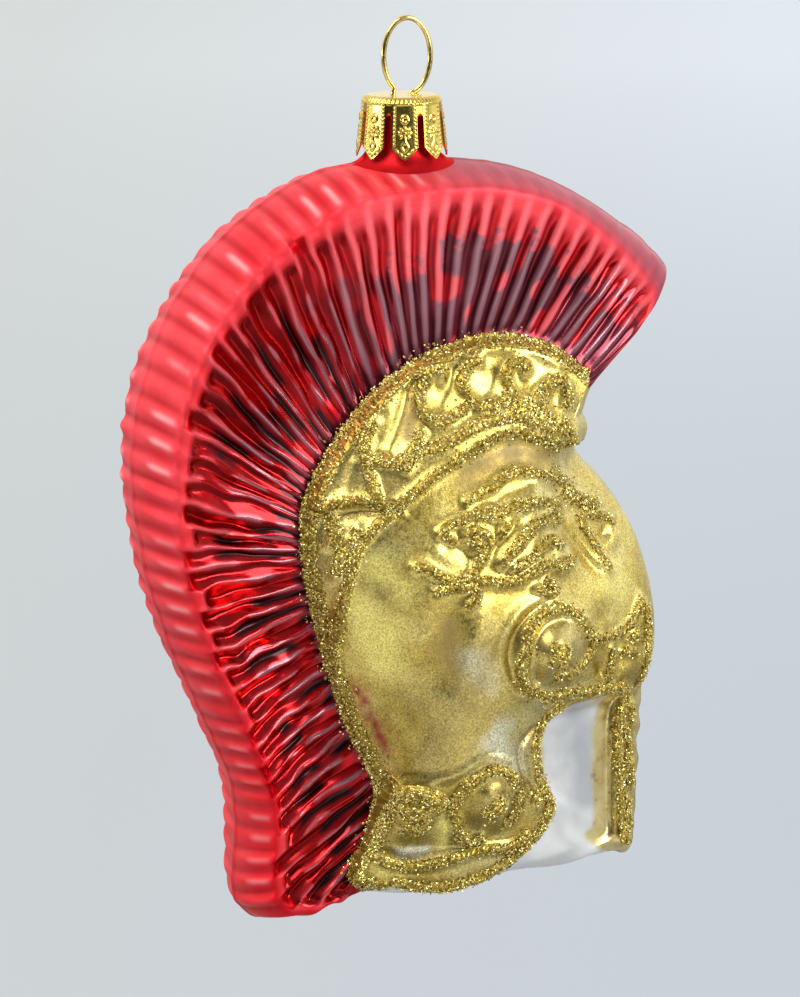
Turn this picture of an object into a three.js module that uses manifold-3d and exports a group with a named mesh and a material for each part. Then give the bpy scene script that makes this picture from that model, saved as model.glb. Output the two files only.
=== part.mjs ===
// Hanging glass ornament in the shape of a crested roman helmet.
// Millimetres, +Z up, +X towards the helmet's front, so its right side faces -Y.
// The origin is the inside top of the wire loop, where a hook carries the ornament.

import * as THREE from 'three';
import Module from 'manifold-3d';

const wasm = await Module();
wasm.setup();

// Driving sizes of the blown glass
const glassLength = 80;
const glassHeight = 108;
const glassThickness = 40;
const glassWall = 1.2;
const ribCount = 56;
const ribDepth = 0.55;
const scallopDepth = 0.3;
const diademRelief = 1.2;
const neckRadius = 4.8;
const neckBoreRadius = 3.8;
const neckFlareRadius = 7.2;
const neckFlareHeight = 3.6;

// Driving sizes of the stamped cap
const capTopRadius = 4.9;
const capShoulderRadius = 5.7;
const capSkirtRadius = 6.5;
const capHeight = 8.7;
const capChamfer = 0.9;
const capBandHeight = 2.6;
const capWall = 0.4;
const petalCount = 8;
const petalGapShare = 0.22;
const petalPointHeight = 1.7;
const petalPhase = THREE.MathUtils.degToRad(29);

// Driving sizes of the wire hanger
const wireDiameter = 0.78;
const loopHeight = 10.4;
const loopWidth = 7.5;
const loopLean = 0.8;
const legSpacing = 2.6;
const legLength = 14;

// Driving sizes of the glitter lines
const glitterHeight = 0.75;
const glitterStep = 3.1;

// Clearances
const gap = 0.3;
const holeClearance = 0.35;
const crownClearance = 0.8;

// Levels and places that follow from the sizes
const halfThickness = glassThickness / 2;
const axisX = -loopLean;
const capTop = -loopHeight;
const crownTop = capTop - capHeight - crownClearance;
const neckTop = capTop - capWall - gap;

// Shares of the way from the seam to the inner line, and of a height, for each row of a section.
// A crest section's heights go from its edge to its root, the others are shares of the root.
const rowCount = 6;
const profiles = {
  under: [[0, 0], [0.3, 0.35], [0.6, 0.62], [0.85, 0.85], [0.96, 0.95], [1, 1]],
  chin: [[0, 0], [0.06, 0.34], [0.13, 0.53], [0.4, 0.66], [0.93, 0.77], [1, 1]],
  face: [[0, 0], [0.1, 0.27], [0.27, 0.41], [0.31, 0.35], [0.93, 0.76], [1, 1]],
  front: [[0, 0], [0.07, 0.36], [0.2, 0.6], [0.42, 0.8], [0.7, 0.93], [1, 1]],
};

// Sections round the right half, from the crest's front tip over the crown and down the back.
// seamX and lineX are shares of the length ahead of the neck's axis, seamDown and lineDown are
// shares of the height below the crown, rim is a share of the way to the line, and edge and
// root are shares of half the thickness.
const crestColumns = ['seamX', 'seamDown', 'lineX', 'lineDown', 'rim', 'edge', 'root'];
const crestRows = [
  [0.508, 0.165, 0.313, 0.283, 0.20, 0.20, 0.42],
  [0.458, 0.121, 0.275, 0.262, 0.18, 0.32, 0.44],
  [0.396, 0.085, 0.230, 0.241, 0.16, 0.42, 0.46],
  [0.301, 0.043, 0.175, 0.228, 0.15, 0.52, 0.47],
  [0.208, 0.015, 0.120, 0.225, 0.14, 0.58, 0.47],
  [0.098, 0.000, 0.063, 0.232, 0.13, 0.62, 0.47],
  [-0.015, 0.000, 0.002, 0.246, 0.13, 0.63, 0.47],
  [-0.135, 0.006, -0.055, 0.270, 0.13, 0.63, 0.47],
  [-0.248, 0.041, -0.108, 0.301, 0.12, 0.63, 0.47],
  [-0.342, 0.094, -0.150, 0.336, 0.11, 0.63, 0.47],
  [-0.418, 0.165, -0.185, 0.374, 0.11, 0.63, 0.47],
  [-0.470, 0.246, -0.210, 0.406, 0.10, 0.64, 0.47],
  [-0.498, 0.330, -0.224, 0.435, 0.10, 0.64, 0.47],
  [-0.502, 0.408, -0.228, 0.465, 0.10, 0.64, 0.47],
  [-0.490, 0.482, -0.226, 0.498, 0.10, 0.64, 0.47],
  [-0.468, 0.556, -0.219, 0.535, 0.10, 0.64, 0.47],
  [-0.433, 0.631, -0.206, 0.578, 0.10, 0.63, 0.47],
  [-0.393, 0.695, -0.191, 0.624, 0.11, 0.62, 0.47],
  [-0.353, 0.760, -0.170, 0.676, 0.11, 0.62, 0.47],
  [-0.323, 0.816, -0.145, 0.728, 0.12, 0.60, 0.47],
  [-0.314, 0.871, -0.113, 0.776, 0.12, 0.58, 0.48],
  [-0.320, 0.927, -0.088, 0.811, 0.13, 0.56, 0.49],
  [-0.315, 0.973, -0.084, 0.843, 0.14, 0.53, 0.50],
  [-0.275, 0.998, -0.095, 0.870, 0.15, 0.50, 0.51],
  [-0.215, 0.994, -0.115, 0.898, 0.17, 0.48, 0.52],
  [-0.150, 0.980, -0.140, 0.931, 0.20, 0.42, 0.55],
];

// Sections from the crest's foot, under the helmet and up its front, back to the crest's tip.
const frontColumns = ['seamX', 'seamDown', 'lineX', 'lineDown', 'root', 'kind'];
const frontRows = [
  [-0.078, 0.977, -0.078, 0.943, 0.60, 'under'],
  [0.010, 0.984, -0.009, 0.955, 0.63, 'under'],
  [0.098, 0.980, 0.060, 0.952, 0.65, 'under'],
  [0.185, 0.969, 0.129, 0.933, 0.66, 'under'],
  [0.260, 0.958, 0.179, 0.907, 0.66, 'chin'],
  [0.335, 0.952, 0.213, 0.880, 0.66, 'chin'],
  [0.398, 0.953, 0.225, 0.857, 0.66, 'chin'],
  [0.443, 0.948, 0.221, 0.841, 0.66, 'face'],
  [0.451, 0.908, 0.209, 0.826, 0.66, 'face'],
  [0.455, 0.857, 0.200, 0.806, 0.66, 'face'],
  [0.458, 0.802, 0.196, 0.783, 0.66, 'face'],
  [0.461, 0.756, 0.199, 0.761, 0.65, 'face'],
  [0.466, 0.723, 0.216, 0.736, 0.64, 'face'],
  [0.471, 0.702, 0.255, 0.720, 0.60, 'front'],
  [0.476, 0.680, 0.310, 0.711, 0.55, 'front'],
  [0.480, 0.654, 0.366, 0.691, 0.50, 'front'],
  [0.478, 0.612, 0.389, 0.640, 0.45, 'front'],
  [0.463, 0.556, 0.380, 0.580, 0.45, 'front'],
  [0.433, 0.496, 0.350, 0.524, 0.43, 'front'],
  [0.388, 0.445, 0.313, 0.473, 0.42, 'front'],
  [0.343, 0.409, 0.280, 0.427, 0.40, 'front'],
  [0.325, 0.388, 0.265, 0.390, 0.42, 'front'],
  [0.335, 0.361, 0.271, 0.359, 0.44, 'front'],
  [0.325, 0.331, 0.280, 0.333, 0.44, 'front'],
  [0.353, 0.298, 0.301, 0.307, 0.43, 'front'],
  [0.413, 0.254, 0.310, 0.294, 0.42, 'front'],
  [0.468, 0.211, 0.313, 0.288, 0.42, 'front'],
];
const columnsPerFrontSection = 1.5;

// The bulge of the helmet's side: shares of the way from the line to its middle, and how many
// columns of the rim share one column there.
const bulgeRows = [[0.06, 1], [0.18, 2], [0.38, 2], [0.64, 4]];
const bulgeMiddle = { x: 0.048, down: 0.60 };
const bulgePower = 2.6;
const sideHeights = [
  { down: 0.20, height: 0.66 },
  { down: 0.33, height: 0.80 },
  { down: 0.44, height: 0.92 },
  { down: 0.58, height: 1.00 },
  { down: 0.70, height: 0.98 },
  { down: 0.84, height: 0.88 },
  { down: 0.96, height: 0.74 },
];

// Raised domes of the relief: place, radius as a share of the length, and height
const domes = [
  { x: 0.220, down: 0.635, radius: 0.085, height: 1.3 },
  { x: 0.100, down: 0.832, radius: 0.070, height: 1.1 },
  { x: -0.040, down: 0.838, radius: 0.050, height: 0.8 },
  { x: 0.175, down: 0.470, radius: 0.130, height: 1.0 },
];

// The lower edge of the raised diadem, as shares of the length and height
const diademLine = [
  [-0.196, 0.438], [-0.131, 0.428], [-0.078, 0.431], [-0.044, 0.416], [-0.008, 0.397], [0.028, 0.379],
  [0.064, 0.362], [0.099, 0.352], [0.135, 0.346], [0.173, 0.350], [0.209, 0.360], [0.240, 0.373],
];

// Glitter lines of the right side: width, and points as shares of the length and height
const glitterLines = {
  wave_band: { width: 1.4, points: [
    [-0.105, 0.373], [-0.059, 0.370], [-0.026, 0.353], [0.043, 0.340], [0.083, 0.327], [0.121, 0.321],
    [0.165, 0.323], [0.205, 0.332]] },
  tie: { width: 1.6, points: [
    [-0.093, 0.456], [-0.119, 0.477], [-0.144, 0.501], [-0.158, 0.533], [-0.165, 0.564], [-0.168, 0.590]] },
  tie_knot: { width: 1.8, points: [[-0.195, 0.490], [-0.170, 0.475], [-0.150, 0.462]] },
  mane_top: { width: 1.5, points: [
    [0.043, 0.429], [0.075, 0.417], [0.106, 0.404], [0.141, 0.396], [0.186, 0.400]] },
  mane_brow: { width: 2.0, points: [[0.210, 0.396], [0.245, 0.413], [0.273, 0.428], [0.295, 0.444]] },
  mane_upper: { width: 1.5, points: [
    [-0.010, 0.469], [0.016, 0.458], [0.039, 0.451], [0.091, 0.453], [0.123, 0.444], [0.158, 0.442],
    [0.216, 0.446]] },
  mane_curl: { width: 1.5, points: [[0.033, 0.487], [0.060, 0.476], [0.084, 0.488], [0.066, 0.503]] },
  mane_middle: { width: 1.4, points: [[0.098, 0.519], [0.125, 0.498], [0.148, 0.478], [0.172, 0.468]] },
  mane_back: { width: 1.6, points: [[-0.038, 0.510], [-0.005, 0.519], [0.023, 0.531], [0.005, 0.545]] },
  mane_lower: { width: 1.5, points: [
    [0.064, 0.536], [0.094, 0.542], [0.123, 0.543], [0.153, 0.532], [0.185, 0.528], [0.219, 0.524]] },
  mane_tip: { width: 1.4, points: [[0.166, 0.499], [0.191, 0.493], [0.215, 0.495]] },
  mane_side: { width: 1.3, points: [
    [0.290, 0.470], [0.299, 0.486], [0.313, 0.502], [0.324, 0.521], [0.340, 0.539]] },
  brow_scroll: { width: 1.8, points: [
    [0.345, 0.700], [0.303, 0.697], [0.255, 0.695], [0.205, 0.694], [0.164, 0.684], [0.143, 0.667],
    [0.140, 0.643], [0.146, 0.617], [0.162, 0.595], [0.190, 0.580], [0.222, 0.577], [0.256, 0.593],
    [0.291, 0.622], [0.335, 0.630], [0.372, 0.622], [0.405, 0.603], [0.425, 0.581]] },
  brow_bead: { width: 2.4, points: [
    [0.244, 0.642], [0.226, 0.652], [0.206, 0.646], [0.205, 0.628], [0.222, 0.619]] },
  nose: { width: 1.7, points: [
    [0.438, 0.621], [0.442, 0.654], [0.436, 0.691], [0.410, 0.735], [0.402, 0.774], [0.400, 0.811],
    [0.400, 0.848], [0.400, 0.885], [0.406, 0.915]] },
  inner_hem: { width: 1.5, points: [
    [-0.096, 0.901], [-0.059, 0.913], [-0.030, 0.915], [0.024, 0.912], [0.086, 0.905], [0.150, 0.890],
    [0.170, 0.876]] },
  cheek_scroll: { width: 1.5, points: [
    [0.030, 0.835], [0.046, 0.818], [0.078, 0.802], [0.109, 0.795], [0.139, 0.809], [0.156, 0.829],
    [0.150, 0.850], [0.131, 0.866], [0.101, 0.866], [0.081, 0.850]] },
  cheek_leaf: { width: 2.2, points: [[-0.071, 0.822], [-0.040, 0.817], [-0.015, 0.832], [-0.036, 0.853],
    [-0.065, 0.863]] },
};

// The row of wave scrolls on the diadem: centre, and radius as a share of the length
const waves = [
  { x: 0.012, down: 0.293, radius: 0.041 },
  { x: 0.090, down: 0.274, radius: 0.040 },
  { x: 0.163, down: 0.277, radius: 0.034 },
  { x: 0.220, down: 0.297, radius: 0.027 },
];
const waveStart = THREE.MathUtils.degToRad(65);
const waveSweep = THREE.MathUtils.degToRad(235);
const wavePoints = 7;
const waveWidth = 1.3;

// Widths of the three lines that follow the helmet's border
const crestLineWidth = 2.3;
const hemLineWidth = 2.0;
const cheekLineWidth = 1.9;
const borderInset = 0.3;
const valleyLift = 0.3;

const materials = {
  glass: new THREE.MeshStandardMaterial({ color: 0xb3101e, roughness: 0.12, metalness: 0.75 }),
  brass: new THREE.MeshStandardMaterial({ color: 0xe2b646, roughness: 0.22, metalness: 1 }),
  glitter: new THREE.MeshStandardMaterial({ color: 0xc9a537, roughness: 0.5, metalness: 0.8 }),
};

function alongX(share) {
  return axisX + share * glassLength;
}

function downZ(share) {
  return crownTop - share * glassHeight;
}

function mix(a, b, t) {
  return a + (b - a) * t;
}

function smooth(t) {
  const u = Math.min(Math.max(t, 0), 1);
  return u * u * (3 - 2 * u);
}

function namedRows(columns, rows) {
  return rows.map((row) => Object.fromEntries(columns.map((name, i) => [name, row[i]])));
}

// Uniform Catmull-Rom blend of four numbers
function spline(a, b, c, d, t) {
  const bend = 2 * a - 5 * b + 4 * c - d;
  const twist = 3 * b - a - 3 * c + d;
  return b + 0.5 * t * (c - a + t * (bend + t * twist));
}

// Height of the helmet's side at a level, from the table of side heights
function sideHeight(z) {
  const down = (crownTop - z) / glassHeight;
  const next = sideHeights.findIndex((row) => row.down > down);
  if (next === 0) return sideHeights[0].height * halfThickness;
  if (next < 0) return sideHeights.at(-1).height * halfThickness;
  const from = sideHeights[next - 1];
  const to = sideHeights[next];
  return mix(from.height, to.height, (down - from.down) / (to.down - from.down)) * halfThickness;
}

function crestSection(row) {
  const edge = row.edge * halfThickness;
  const root = row.root * halfThickness;
  const rows = [
    [0, 0],
    [row.rim, edge],
    [row.rim + 0.08, edge * 0.985],
    [0.5, mix(edge, root, 0.35)],
    [0.8, mix(edge, root, 0.82)],
    [1, root],
  ];
  return { ...place(row), rows, root };
}

function frontSection(row) {
  const root = row.root * halfThickness;
  const rows = profiles[row.kind].map(([way, share]) => [way, share * root]);
  return { ...place(row), rows, root };
}

function place(row) {
  return {
    seam: [alongX(row.seamX), downZ(row.seamDown)],
    line: [alongX(row.lineX), downZ(row.lineDown)],
  };
}

const crestSections = namedRows(crestColumns, crestRows).map(crestSection);
const frontSections = namedRows(frontColumns, frontRows).map(frontSection);
const sections = [...crestSections, ...frontSections];

// One column of the surface, blended between neighbouring sections round the closed loop
function columnAt(position) {
  const count = sections.length;
  const index = Math.floor(position);
  const t = position - index;
  const four = [-1, 0, 1, 2].map((step) => sections[(index + step + count) % count]);
  const blend = (read) => spline(...four.map(read), t);
  const rows = [];
  for (let r = 0; r < rowCount; r += 1) {
    rows.push([blend((s) => s.rows[r][0]), Math.max(blend((s) => s.rows[r][1]), 0)]);
  }
  return {
    seam: [blend((s) => s.seam[0]), blend((s) => s.seam[1])],
    line: [blend((s) => s.line[0]), blend((s) => s.line[1])],
    root: blend((s) => s.root),
    rows,
  };
}

// Positions of the crest's columns, evenly spaced along the middle of the crest
function crestPositions(count) {
  const last = crestSections.length - 1;
  const fine = last * 8;
  const travelled = [0];
  let previous = null;
  for (let i = 0; i <= fine; i += 1) {
    const column = columnAt((i / fine) * last);
    const middle = [mix(column.seam[0], column.line[0], 0.4), mix(column.seam[1], column.line[1], 0.4)];
    if (previous) {
      travelled.push(travelled.at(-1) + Math.hypot(middle[0] - previous[0], middle[1] - previous[1]));
    }
    previous = middle;
  }
  const positions = [];
  for (let i = 0; i < count; i += 1) {
    const wanted = (travelled.at(-1) * i) / count;
    const at = Math.max(travelled.findIndex((length) => length > wanted), 1);
    const part = (wanted - travelled[at - 1]) / (travelled[at] - travelled[at - 1]);
    positions.push(((at - 1 + part) / fine) * last);
  }
  return positions;
}

function frontPositions(count) {
  const first = crestSections.length - 1;
  const span = frontSections.length + 1;
  return Array.from({ length: count }, (unused, i) => first + (span * i) / count);
}

// Columns of the outer surface: the crest's come in pairs, one on each rib and one in each groove
function outerColumns() {
  const crest = crestPositions(ribCount * 2);
  const wanted = frontSections.length * columnsPerFrontSection;
  const front = frontPositions(Math.round(wanted / 4) * 4);
  const ribbed = crest.map((position, i) => ({ ...columnAt(position), wave: i % 2 ? -1 : 1 }));
  const plain = front.map((position) => ({ ...columnAt(position), wave: 0 }));
  return [...ribbed, ...plain];
}

function distanceToDiadem(x, z) {
  let best = { distance: Infinity, above: false };
  for (let i = 1; i < diademLine.length; i += 1) {
    const ax = alongX(diademLine[i - 1][0]);
    const az = downZ(diademLine[i - 1][1]);
    const bx = alongX(diademLine[i][0]);
    const bz = downZ(diademLine[i][1]);
    const t = Math.min(Math.max(((x - ax) * (bx - ax) + (z - az) * (bz - az))
      / ((bx - ax) ** 2 + (bz - az) ** 2), 0), 1);
    const px = mix(ax, bx, t);
    const pz = mix(az, bz, t);
    const distance = Math.hypot(x - px, z - pz);
    if (distance < best.distance) best = { distance, above: z > pz };
  }
  return best.above ? best.distance : -best.distance;
}

// Raised work on the helmet's side: the diadem and the domes under the scrolls and the mane
function relief(x, z) {
  let height = diademRelief * smooth(distanceToDiadem(x, z) / diademRelief);
  for (const dome of domes) {
    const reach = Math.hypot(x - alongX(dome.x), z - downZ(dome.down)) / (dome.radius * glassLength);
    height += dome.height * smooth(1.4 * (1 - reach));
  }
  return height;
}

function ribbedHeight(row, height, wave) {
  const ribbed = row > 1 && row < rowCount - 1;
  return height + (ribbed ? wave * ribDepth : 0);
}

// Points of one column from the seam to the inner line, then over the bulge to its middle
function columnPoints(column, bulges, middle) {
  const length = Math.hypot(column.line[0] - column.seam[0], column.line[1] - column.seam[1]);
  const points = column.rows.map(([way, height], row) => {
    const scallop = row < 2 ? (-column.wave * scallopDepth) / length : 0;
    const along = way + scallop;
    return {
      x: mix(column.seam[0], column.line[0], along),
      z: mix(column.seam[1], column.line[1], along),
      h: ribbedHeight(row, height, column.wave),
    };
  });
  for (const [share] of bulges) {
    const x = mix(column.line[0], middle.x, share);
    const z = mix(column.line[1], middle.z, share);
    const rise = 1 - (1 - share) ** bulgePower;
    points.push({ x, z, h: mix(column.root, sideHeight(z), rise) + relief(x, z) });
  }
  return points;
}

// A half shell as vertices and triangles. Rows are rings; a ring may hold fewer columns than the
// one outside it. The last ring closes on the middle.
function halfShell(columns, bulges, middle) {
  const vertices = [];
  const rings = [];
  const grid = columns.map((column) => columnPoints(column, bulges, middle));
  const everyFor = (ring) => (ring < rowCount ? 1 : bulges[ring - rowCount][1]);
  for (let ring = 0; ring < rowCount + bulges.length; ring += 1) {
    const ids = [];
    for (let c = 0; c < grid.length; c += everyFor(ring)) {
      ids.push(vertices.length);
      vertices.push(grid[c][ring]);
    }
    rings.push(ids);
  }
  const middleId = vertices.length;
  vertices.push({ x: middle.x, z: middle.z, h: sideHeight(middle.z) + relief(middle.x, middle.z) });
  const triangles = [];
  for (let ring = 1; ring < rings.length; ring += 1) {
    joinRings(rings[ring - 1], rings[ring], triangles);
  }
  const last = rings.at(-1);
  last.forEach((id, i) => triangles.push([id, last[(i + 1) % last.length], middleId]));
  return { vertices, triangles, seam: rings[0] };
}

function joinRings(outer, inner, triangles) {
  const step = outer.length / inner.length;
  for (let i = 0; i < inner.length; i += 1) {
    const next = (i + 1) % inner.length;
    const first = outer[i * step];
    const last = outer[((i + 1) * step) % outer.length];
    if (step === 1) {
      triangles.push([first, last, inner[i]], [last, inner[next], inner[i]]);
    } else {
      const between = outer[i * step + 1];
      triangles.push([first, between, inner[i]]);
      triangles.push([between, inner[next], inner[i]]);
      triangles.push([between, last, inner[next]]);
    }
  }
}

// Both halves joined at the seam, as one closed solid
function closedShell(half) {
  const positions = [];
  const rightIds = half.vertices.map(({ x, z, h }, i) => {
    positions.push(x, half.seam.includes(i) ? 0 : -h, z);
    return positions.length / 3 - 1;
  });
  const leftIds = half.vertices.map(({ x, z, h }, i) => {
    if (half.seam.includes(i)) return rightIds[i];
    positions.push(x, h, z);
    return positions.length / 3 - 1;
  });
  const faces = [];
  for (const [a, b, c] of half.triangles) {
    faces.push(rightIds[a], rightIds[b], rightIds[c]);
    faces.push(leftIds[a], leftIds[c], leftIds[b]);
  }
  return solidOf(positions, faces);
}

// A solid from positions and faces, turned the right way out
function solidOf(positions, faces) {
  let volume = 0;
  for (let i = 0; i < faces.length; i += 3) {
    const [a, b, c] = [0, 1, 2].map((k) => new THREE.Vector3().fromArray(positions, faces[i + k] * 3));
    volume += a.dot(b.cross(c));
  }
  if (volume < 0) {
    for (let i = 0; i < faces.length; i += 3) {
      [faces[i + 1], faces[i + 2]] = [faces[i + 2], faces[i + 1]];
    }
  }
  const mesh = new wasm.Mesh({
    numProp: 3,
    vertProperties: new Float32Array(positions),
    triVerts: new Uint32Array(faces),
  });
  return new wasm.Manifold(mesh);
}

function geometryOf(solid) {
  const mesh = solid.getMesh();
  const geometry = new THREE.BufferGeometry();
  geometry.setAttribute('position', new THREE.BufferAttribute(mesh.vertProperties, 3));
  geometry.setIndex(new THREE.BufferAttribute(mesh.triVerts, 1));
  return geometry;
}

// A solid of revolution about a vertical axis at x, from [radius, z] pairs, closed at both ends
function rod(profile, sides, x = axisX) {
  const positions = [];
  const faces = [];
  const count = profile.length;
  for (let s = 0; s < sides; s += 1) {
    const angle = (s / sides) * Math.PI * 2;
    for (const [radius, z] of profile) {
      positions.push(x + radius * Math.cos(angle), radius * Math.sin(angle), z);
    }
  }
  const top = positions.length / 3;
  positions.push(x, 0, profile[0][1]);
  positions.push(x, 0, profile[count - 1][1]);
  for (let s = 0; s < sides; s += 1) {
    const next = (s + 1) % sides;
    for (let p = 0; p + 1 < count; p += 1) {
      const corners = [s * count + p, next * count + p, next * count + p + 1, s * count + p + 1];
      faces.push(corners[0], corners[1], corners[2], corners[0], corners[2], corners[3]);
    }
    faces.push(top, next * count, s * count);
    faces.push(top + 1, s * count + count - 1, next * count + count - 1);
  }
  return solidOf(positions, faces);
}

// The room inside the glass: the same sections, pulled in by the wall and without ribs
function cavity(middle) {
  const inset = glassWall + ribDepth;
  const columns = sections.map((section, i) => {
    const column = columnAt(i);
    const length = Math.hypot(column.line[0] - column.seam[0], column.line[1] - column.seam[1]);
    const start = Math.min((2 * inset) / length, 0.7);
    const rows = column.rows.map(([way, height], row) => {
      const pulled = Math.max(way, start + (1 - start) * way * 0.9);
      return [pulled, row ? Math.max(height - inset, 0.4) : 0];
    });
    return { ...column, rows, root: column.root - inset, wave: 0 };
  });
  const even = columns.length - (columns.length % 2);
  const half = halfShell(columns.slice(0, even), [[0.1, 1], [0.3, 1], [0.6, 1]], middle);
  for (const vertex of half.vertices.slice(rowCount * even)) vertex.h -= inset;
  return closedShell(half);
}

function neck() {
  const foot = crownTop - neckFlareHeight * 1.4;
  return rod([
    [neckRadius, neckTop],
    [neckRadius, crownTop + neckFlareHeight * 0.5],
    [mix(neckRadius, neckFlareRadius, 0.2), crownTop + neckFlareHeight * 0.15],
    [mix(neckRadius, neckFlareRadius, 0.55), crownTop - neckFlareHeight * 0.12],
    [neckFlareRadius, crownTop - neckFlareHeight * 0.4],
    [neckFlareRadius, foot],
  ], 24);
}

function makeGlass() {
  const middle = { x: alongX(bulgeMiddle.x), z: downZ(bulgeMiddle.down) };
  const half = halfShell(outerColumns(), bulgeRows, middle);
  const bore = rod([[neckBoreRadius, neckTop + 1], [neckBoreRadius, crownTop - 3 * neckFlareHeight]], 24);
  const solid = closedShell(half).add(neck()).subtract(cavity(middle).add(bore));
  return { solid, half };
}

// One petal of the cap: a curved plate with a pointed foot
function petal(angle) {
  const reach = (Math.PI / petalCount) * (1 - petalGapShare);
  const top = capTop - capBandHeight * 0.7;
  const tip = capTop - capHeight;
  const shoulder = capTop - capChamfer;
  const radiusAt = (z) => mix(capShoulderRadius, capSkirtRadius, (shoulder - z) / (shoulder - tip));
  const positions = [];
  const across = [-1, -0.5, 0, 0.5, 1];
  const levels = [0, 0.5, 1];
  for (const inner of [0, 1]) {
    for (const level of levels) {
      for (const side of across) {
        const foot = tip + petalPointHeight * Math.abs(side);
        const z = mix(top, foot, level);
        const radius = radiusAt(z) - inner * capWall;
        const turn = angle + side * reach;
        positions.push(axisX + radius * Math.cos(turn), radius * Math.sin(turn), z);
      }
    }
  }
  const wide = across.length;
  const layer = wide * levels.length;
  const faces = [];
  const quad = (a, b, c, d) => faces.push(a, b, c, a, c, d);
  for (let l = 0; l + 1 < levels.length; l += 1) {
    for (let w = 0; w + 1 < wide; w += 1) {
      const a = l * wide + w;
      quad(a, a + wide, a + wide + 1, a + 1);
      quad(layer + a, layer + a + 1, layer + a + wide + 1, layer + a + wide);
    }
    const left = l * wide;
    const right = left + wide - 1;
    quad(left, layer + left, layer + left + wide, left + wide);
    quad(right, right + wide, layer + right + wide, layer + right);
  }
  for (let w = 0; w + 1 < wide; w += 1) {
    const foot = layer - wide + w;
    quad(w, w + 1, layer + w + 1, layer + w);
    quad(foot, layer + foot, layer + foot + 1, foot + 1);
  }
  return solidOf(positions, faces);
}

function makeCap() {
  const shoulder = capTop - capChamfer;
  const bandFoot = capTop - capBandHeight;
  const under = capTop - capWall;
  let solid = rod([
    [capTopRadius, capTop],
    [capShoulderRadius, shoulder],
    [capShoulderRadius + 0.05, bandFoot],
    [capShoulderRadius - capWall, bandFoot],
    [capShoulderRadius - capWall, shoulder],
    [capTopRadius - capWall / 2, under],
  ], 32);
  for (let p = 0; p < petalCount; p += 1) {
    solid = solid.add(petal(petalPhase + (p / petalCount) * Math.PI * 2));
  }
  const holeRadius = wireDiameter / 2 + holeClearance;
  for (const side of [-1, 1]) {
    const holeX = axisX + (side * legSpacing) / 2;
    const hole = rod([[holeRadius, capTop + 1], [holeRadius, under - 1]], 12, holeX);
    solid = solid.subtract(hole);
  }
  return solid;
}

// The wire's middle line: up from one leg's end, round the loop and down to the other's
function wirePath() {
  const radius = wireDiameter / 2;
  const centre = { x: axisX + loopLean, z: radius - (loopHeight + radius) / 2 };
  const reachX = (loopWidth - wireDiameter) / 2 + 0.15;
  const reachZ = (loopHeight + radius) / 2;
  const splay = neckBoreRadius - radius - gap - 0.4;
  const path = [];
  const leg = (side, depth, out) => path.push([axisX + side * out, capTop - depth]);
  leg(-1, legLength, splay);
  leg(-1, legLength * 0.5, mix(legSpacing / 2, splay, 0.6));
  leg(-1, 1.2, legSpacing / 2);
  leg(-1, -0.1, legSpacing / 2);
  const turns = 18;
  const open = THREE.MathUtils.degToRad(62);
  for (let i = 0; i <= turns; i += 1) {
    const angle = Math.PI * 1.5 - open / 2 - ((Math.PI * 2 - open) * i) / turns;
    path.push([centre.x + reachX * Math.cos(angle), centre.z + reachZ * Math.sin(angle)]);
  }
  leg(1, -0.1, legSpacing / 2);
  leg(1, 1.2, legSpacing / 2);
  leg(1, legLength * 0.5, mix(legSpacing / 2, splay, 0.6));
  leg(1, legLength, splay);
  return path;
}

function makeWire() {
  const sides = 6;
  const radius = wireDiameter / 2 / Math.cos(Math.PI / sides);
  const path = wirePath();
  const positions = [];
  const faces = [];
  path.forEach(([x, z], i) => {
    const before = path[Math.max(i - 1, 0)];
    const after = path[Math.min(i + 1, path.length - 1)];
    const run = Math.hypot(after[0] - before[0], after[1] - before[1]);
    const side = [(before[1] - after[1]) / run, (after[0] - before[0]) / run];
    for (let s = 0; s < sides; s += 1) {
      const angle = ((s + 0.5) / sides) * Math.PI * 2;
      const out = radius * Math.cos(angle);
      positions.push(x + side[0] * out, radius * Math.sin(angle), z + side[1] * out);
    }
  });
  for (let i = 0; i + 1 < path.length; i += 1) {
    for (let s = 0; s < sides; s += 1) {
      const next = (s + 1) % sides;
      const corners = [i * sides + s, i * sides + next, (i + 1) * sides + next, (i + 1) * sides + s];
      faces.push(corners[0], corners[1], corners[2], corners[0], corners[2], corners[3]);
    }
  }
  const last = (path.length - 1) * sides;
  for (let s = 1; s + 1 < sides; s += 1) {
    faces.push(0, s + 1, s, last, last + s, last + s + 1);
  }
  return solidOf(positions, faces);
}

// The glass's height over the seam plane at a place, read from the half shell's own facets
function heightReader(half) {
  const facets = half.triangles.map((ids) => ids.map((id) => half.vertices[id]));
  return (x, z) => {
    let height = 0;
    for (const [a, b, c] of facets) {
      const area = (b.x - a.x) * (c.z - a.z) - (c.x - a.x) * (b.z - a.z);
      const u = ((x - a.x) * (c.z - a.z) - (c.x - a.x) * (z - a.z)) / area;
      const v = ((b.x - a.x) * (z - a.z) - (x - a.x) * (b.z - a.z)) / area;
      if (u < 0 || v < 0 || u + v > 1) continue;
      height = Math.max(height, a.h + u * (b.h - a.h) + v * (c.h - a.h));
    }
    return height;
  };
}

// Even stations along a smooth line through the given places
function stationsAlong(points) {
  const curve = new THREE.CatmullRomCurve3(points.map(([x, z]) => new THREE.Vector3(x, 0, z)));
  const count = Math.max(Math.round(curve.getLength() / glitterStep), 2);
  const found = [];
  for (let i = 0; i <= count; i += 1) {
    const at = curve.getPointAt(i / count);
    const run = curve.getTangentAt(i / count);
    const end = i === 0 || i === count;
    found.push({ x: at.x, z: at.z, runX: run.x, runZ: run.z, end, step: curve.getLength() / count });
  }
  return found;
}

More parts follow.
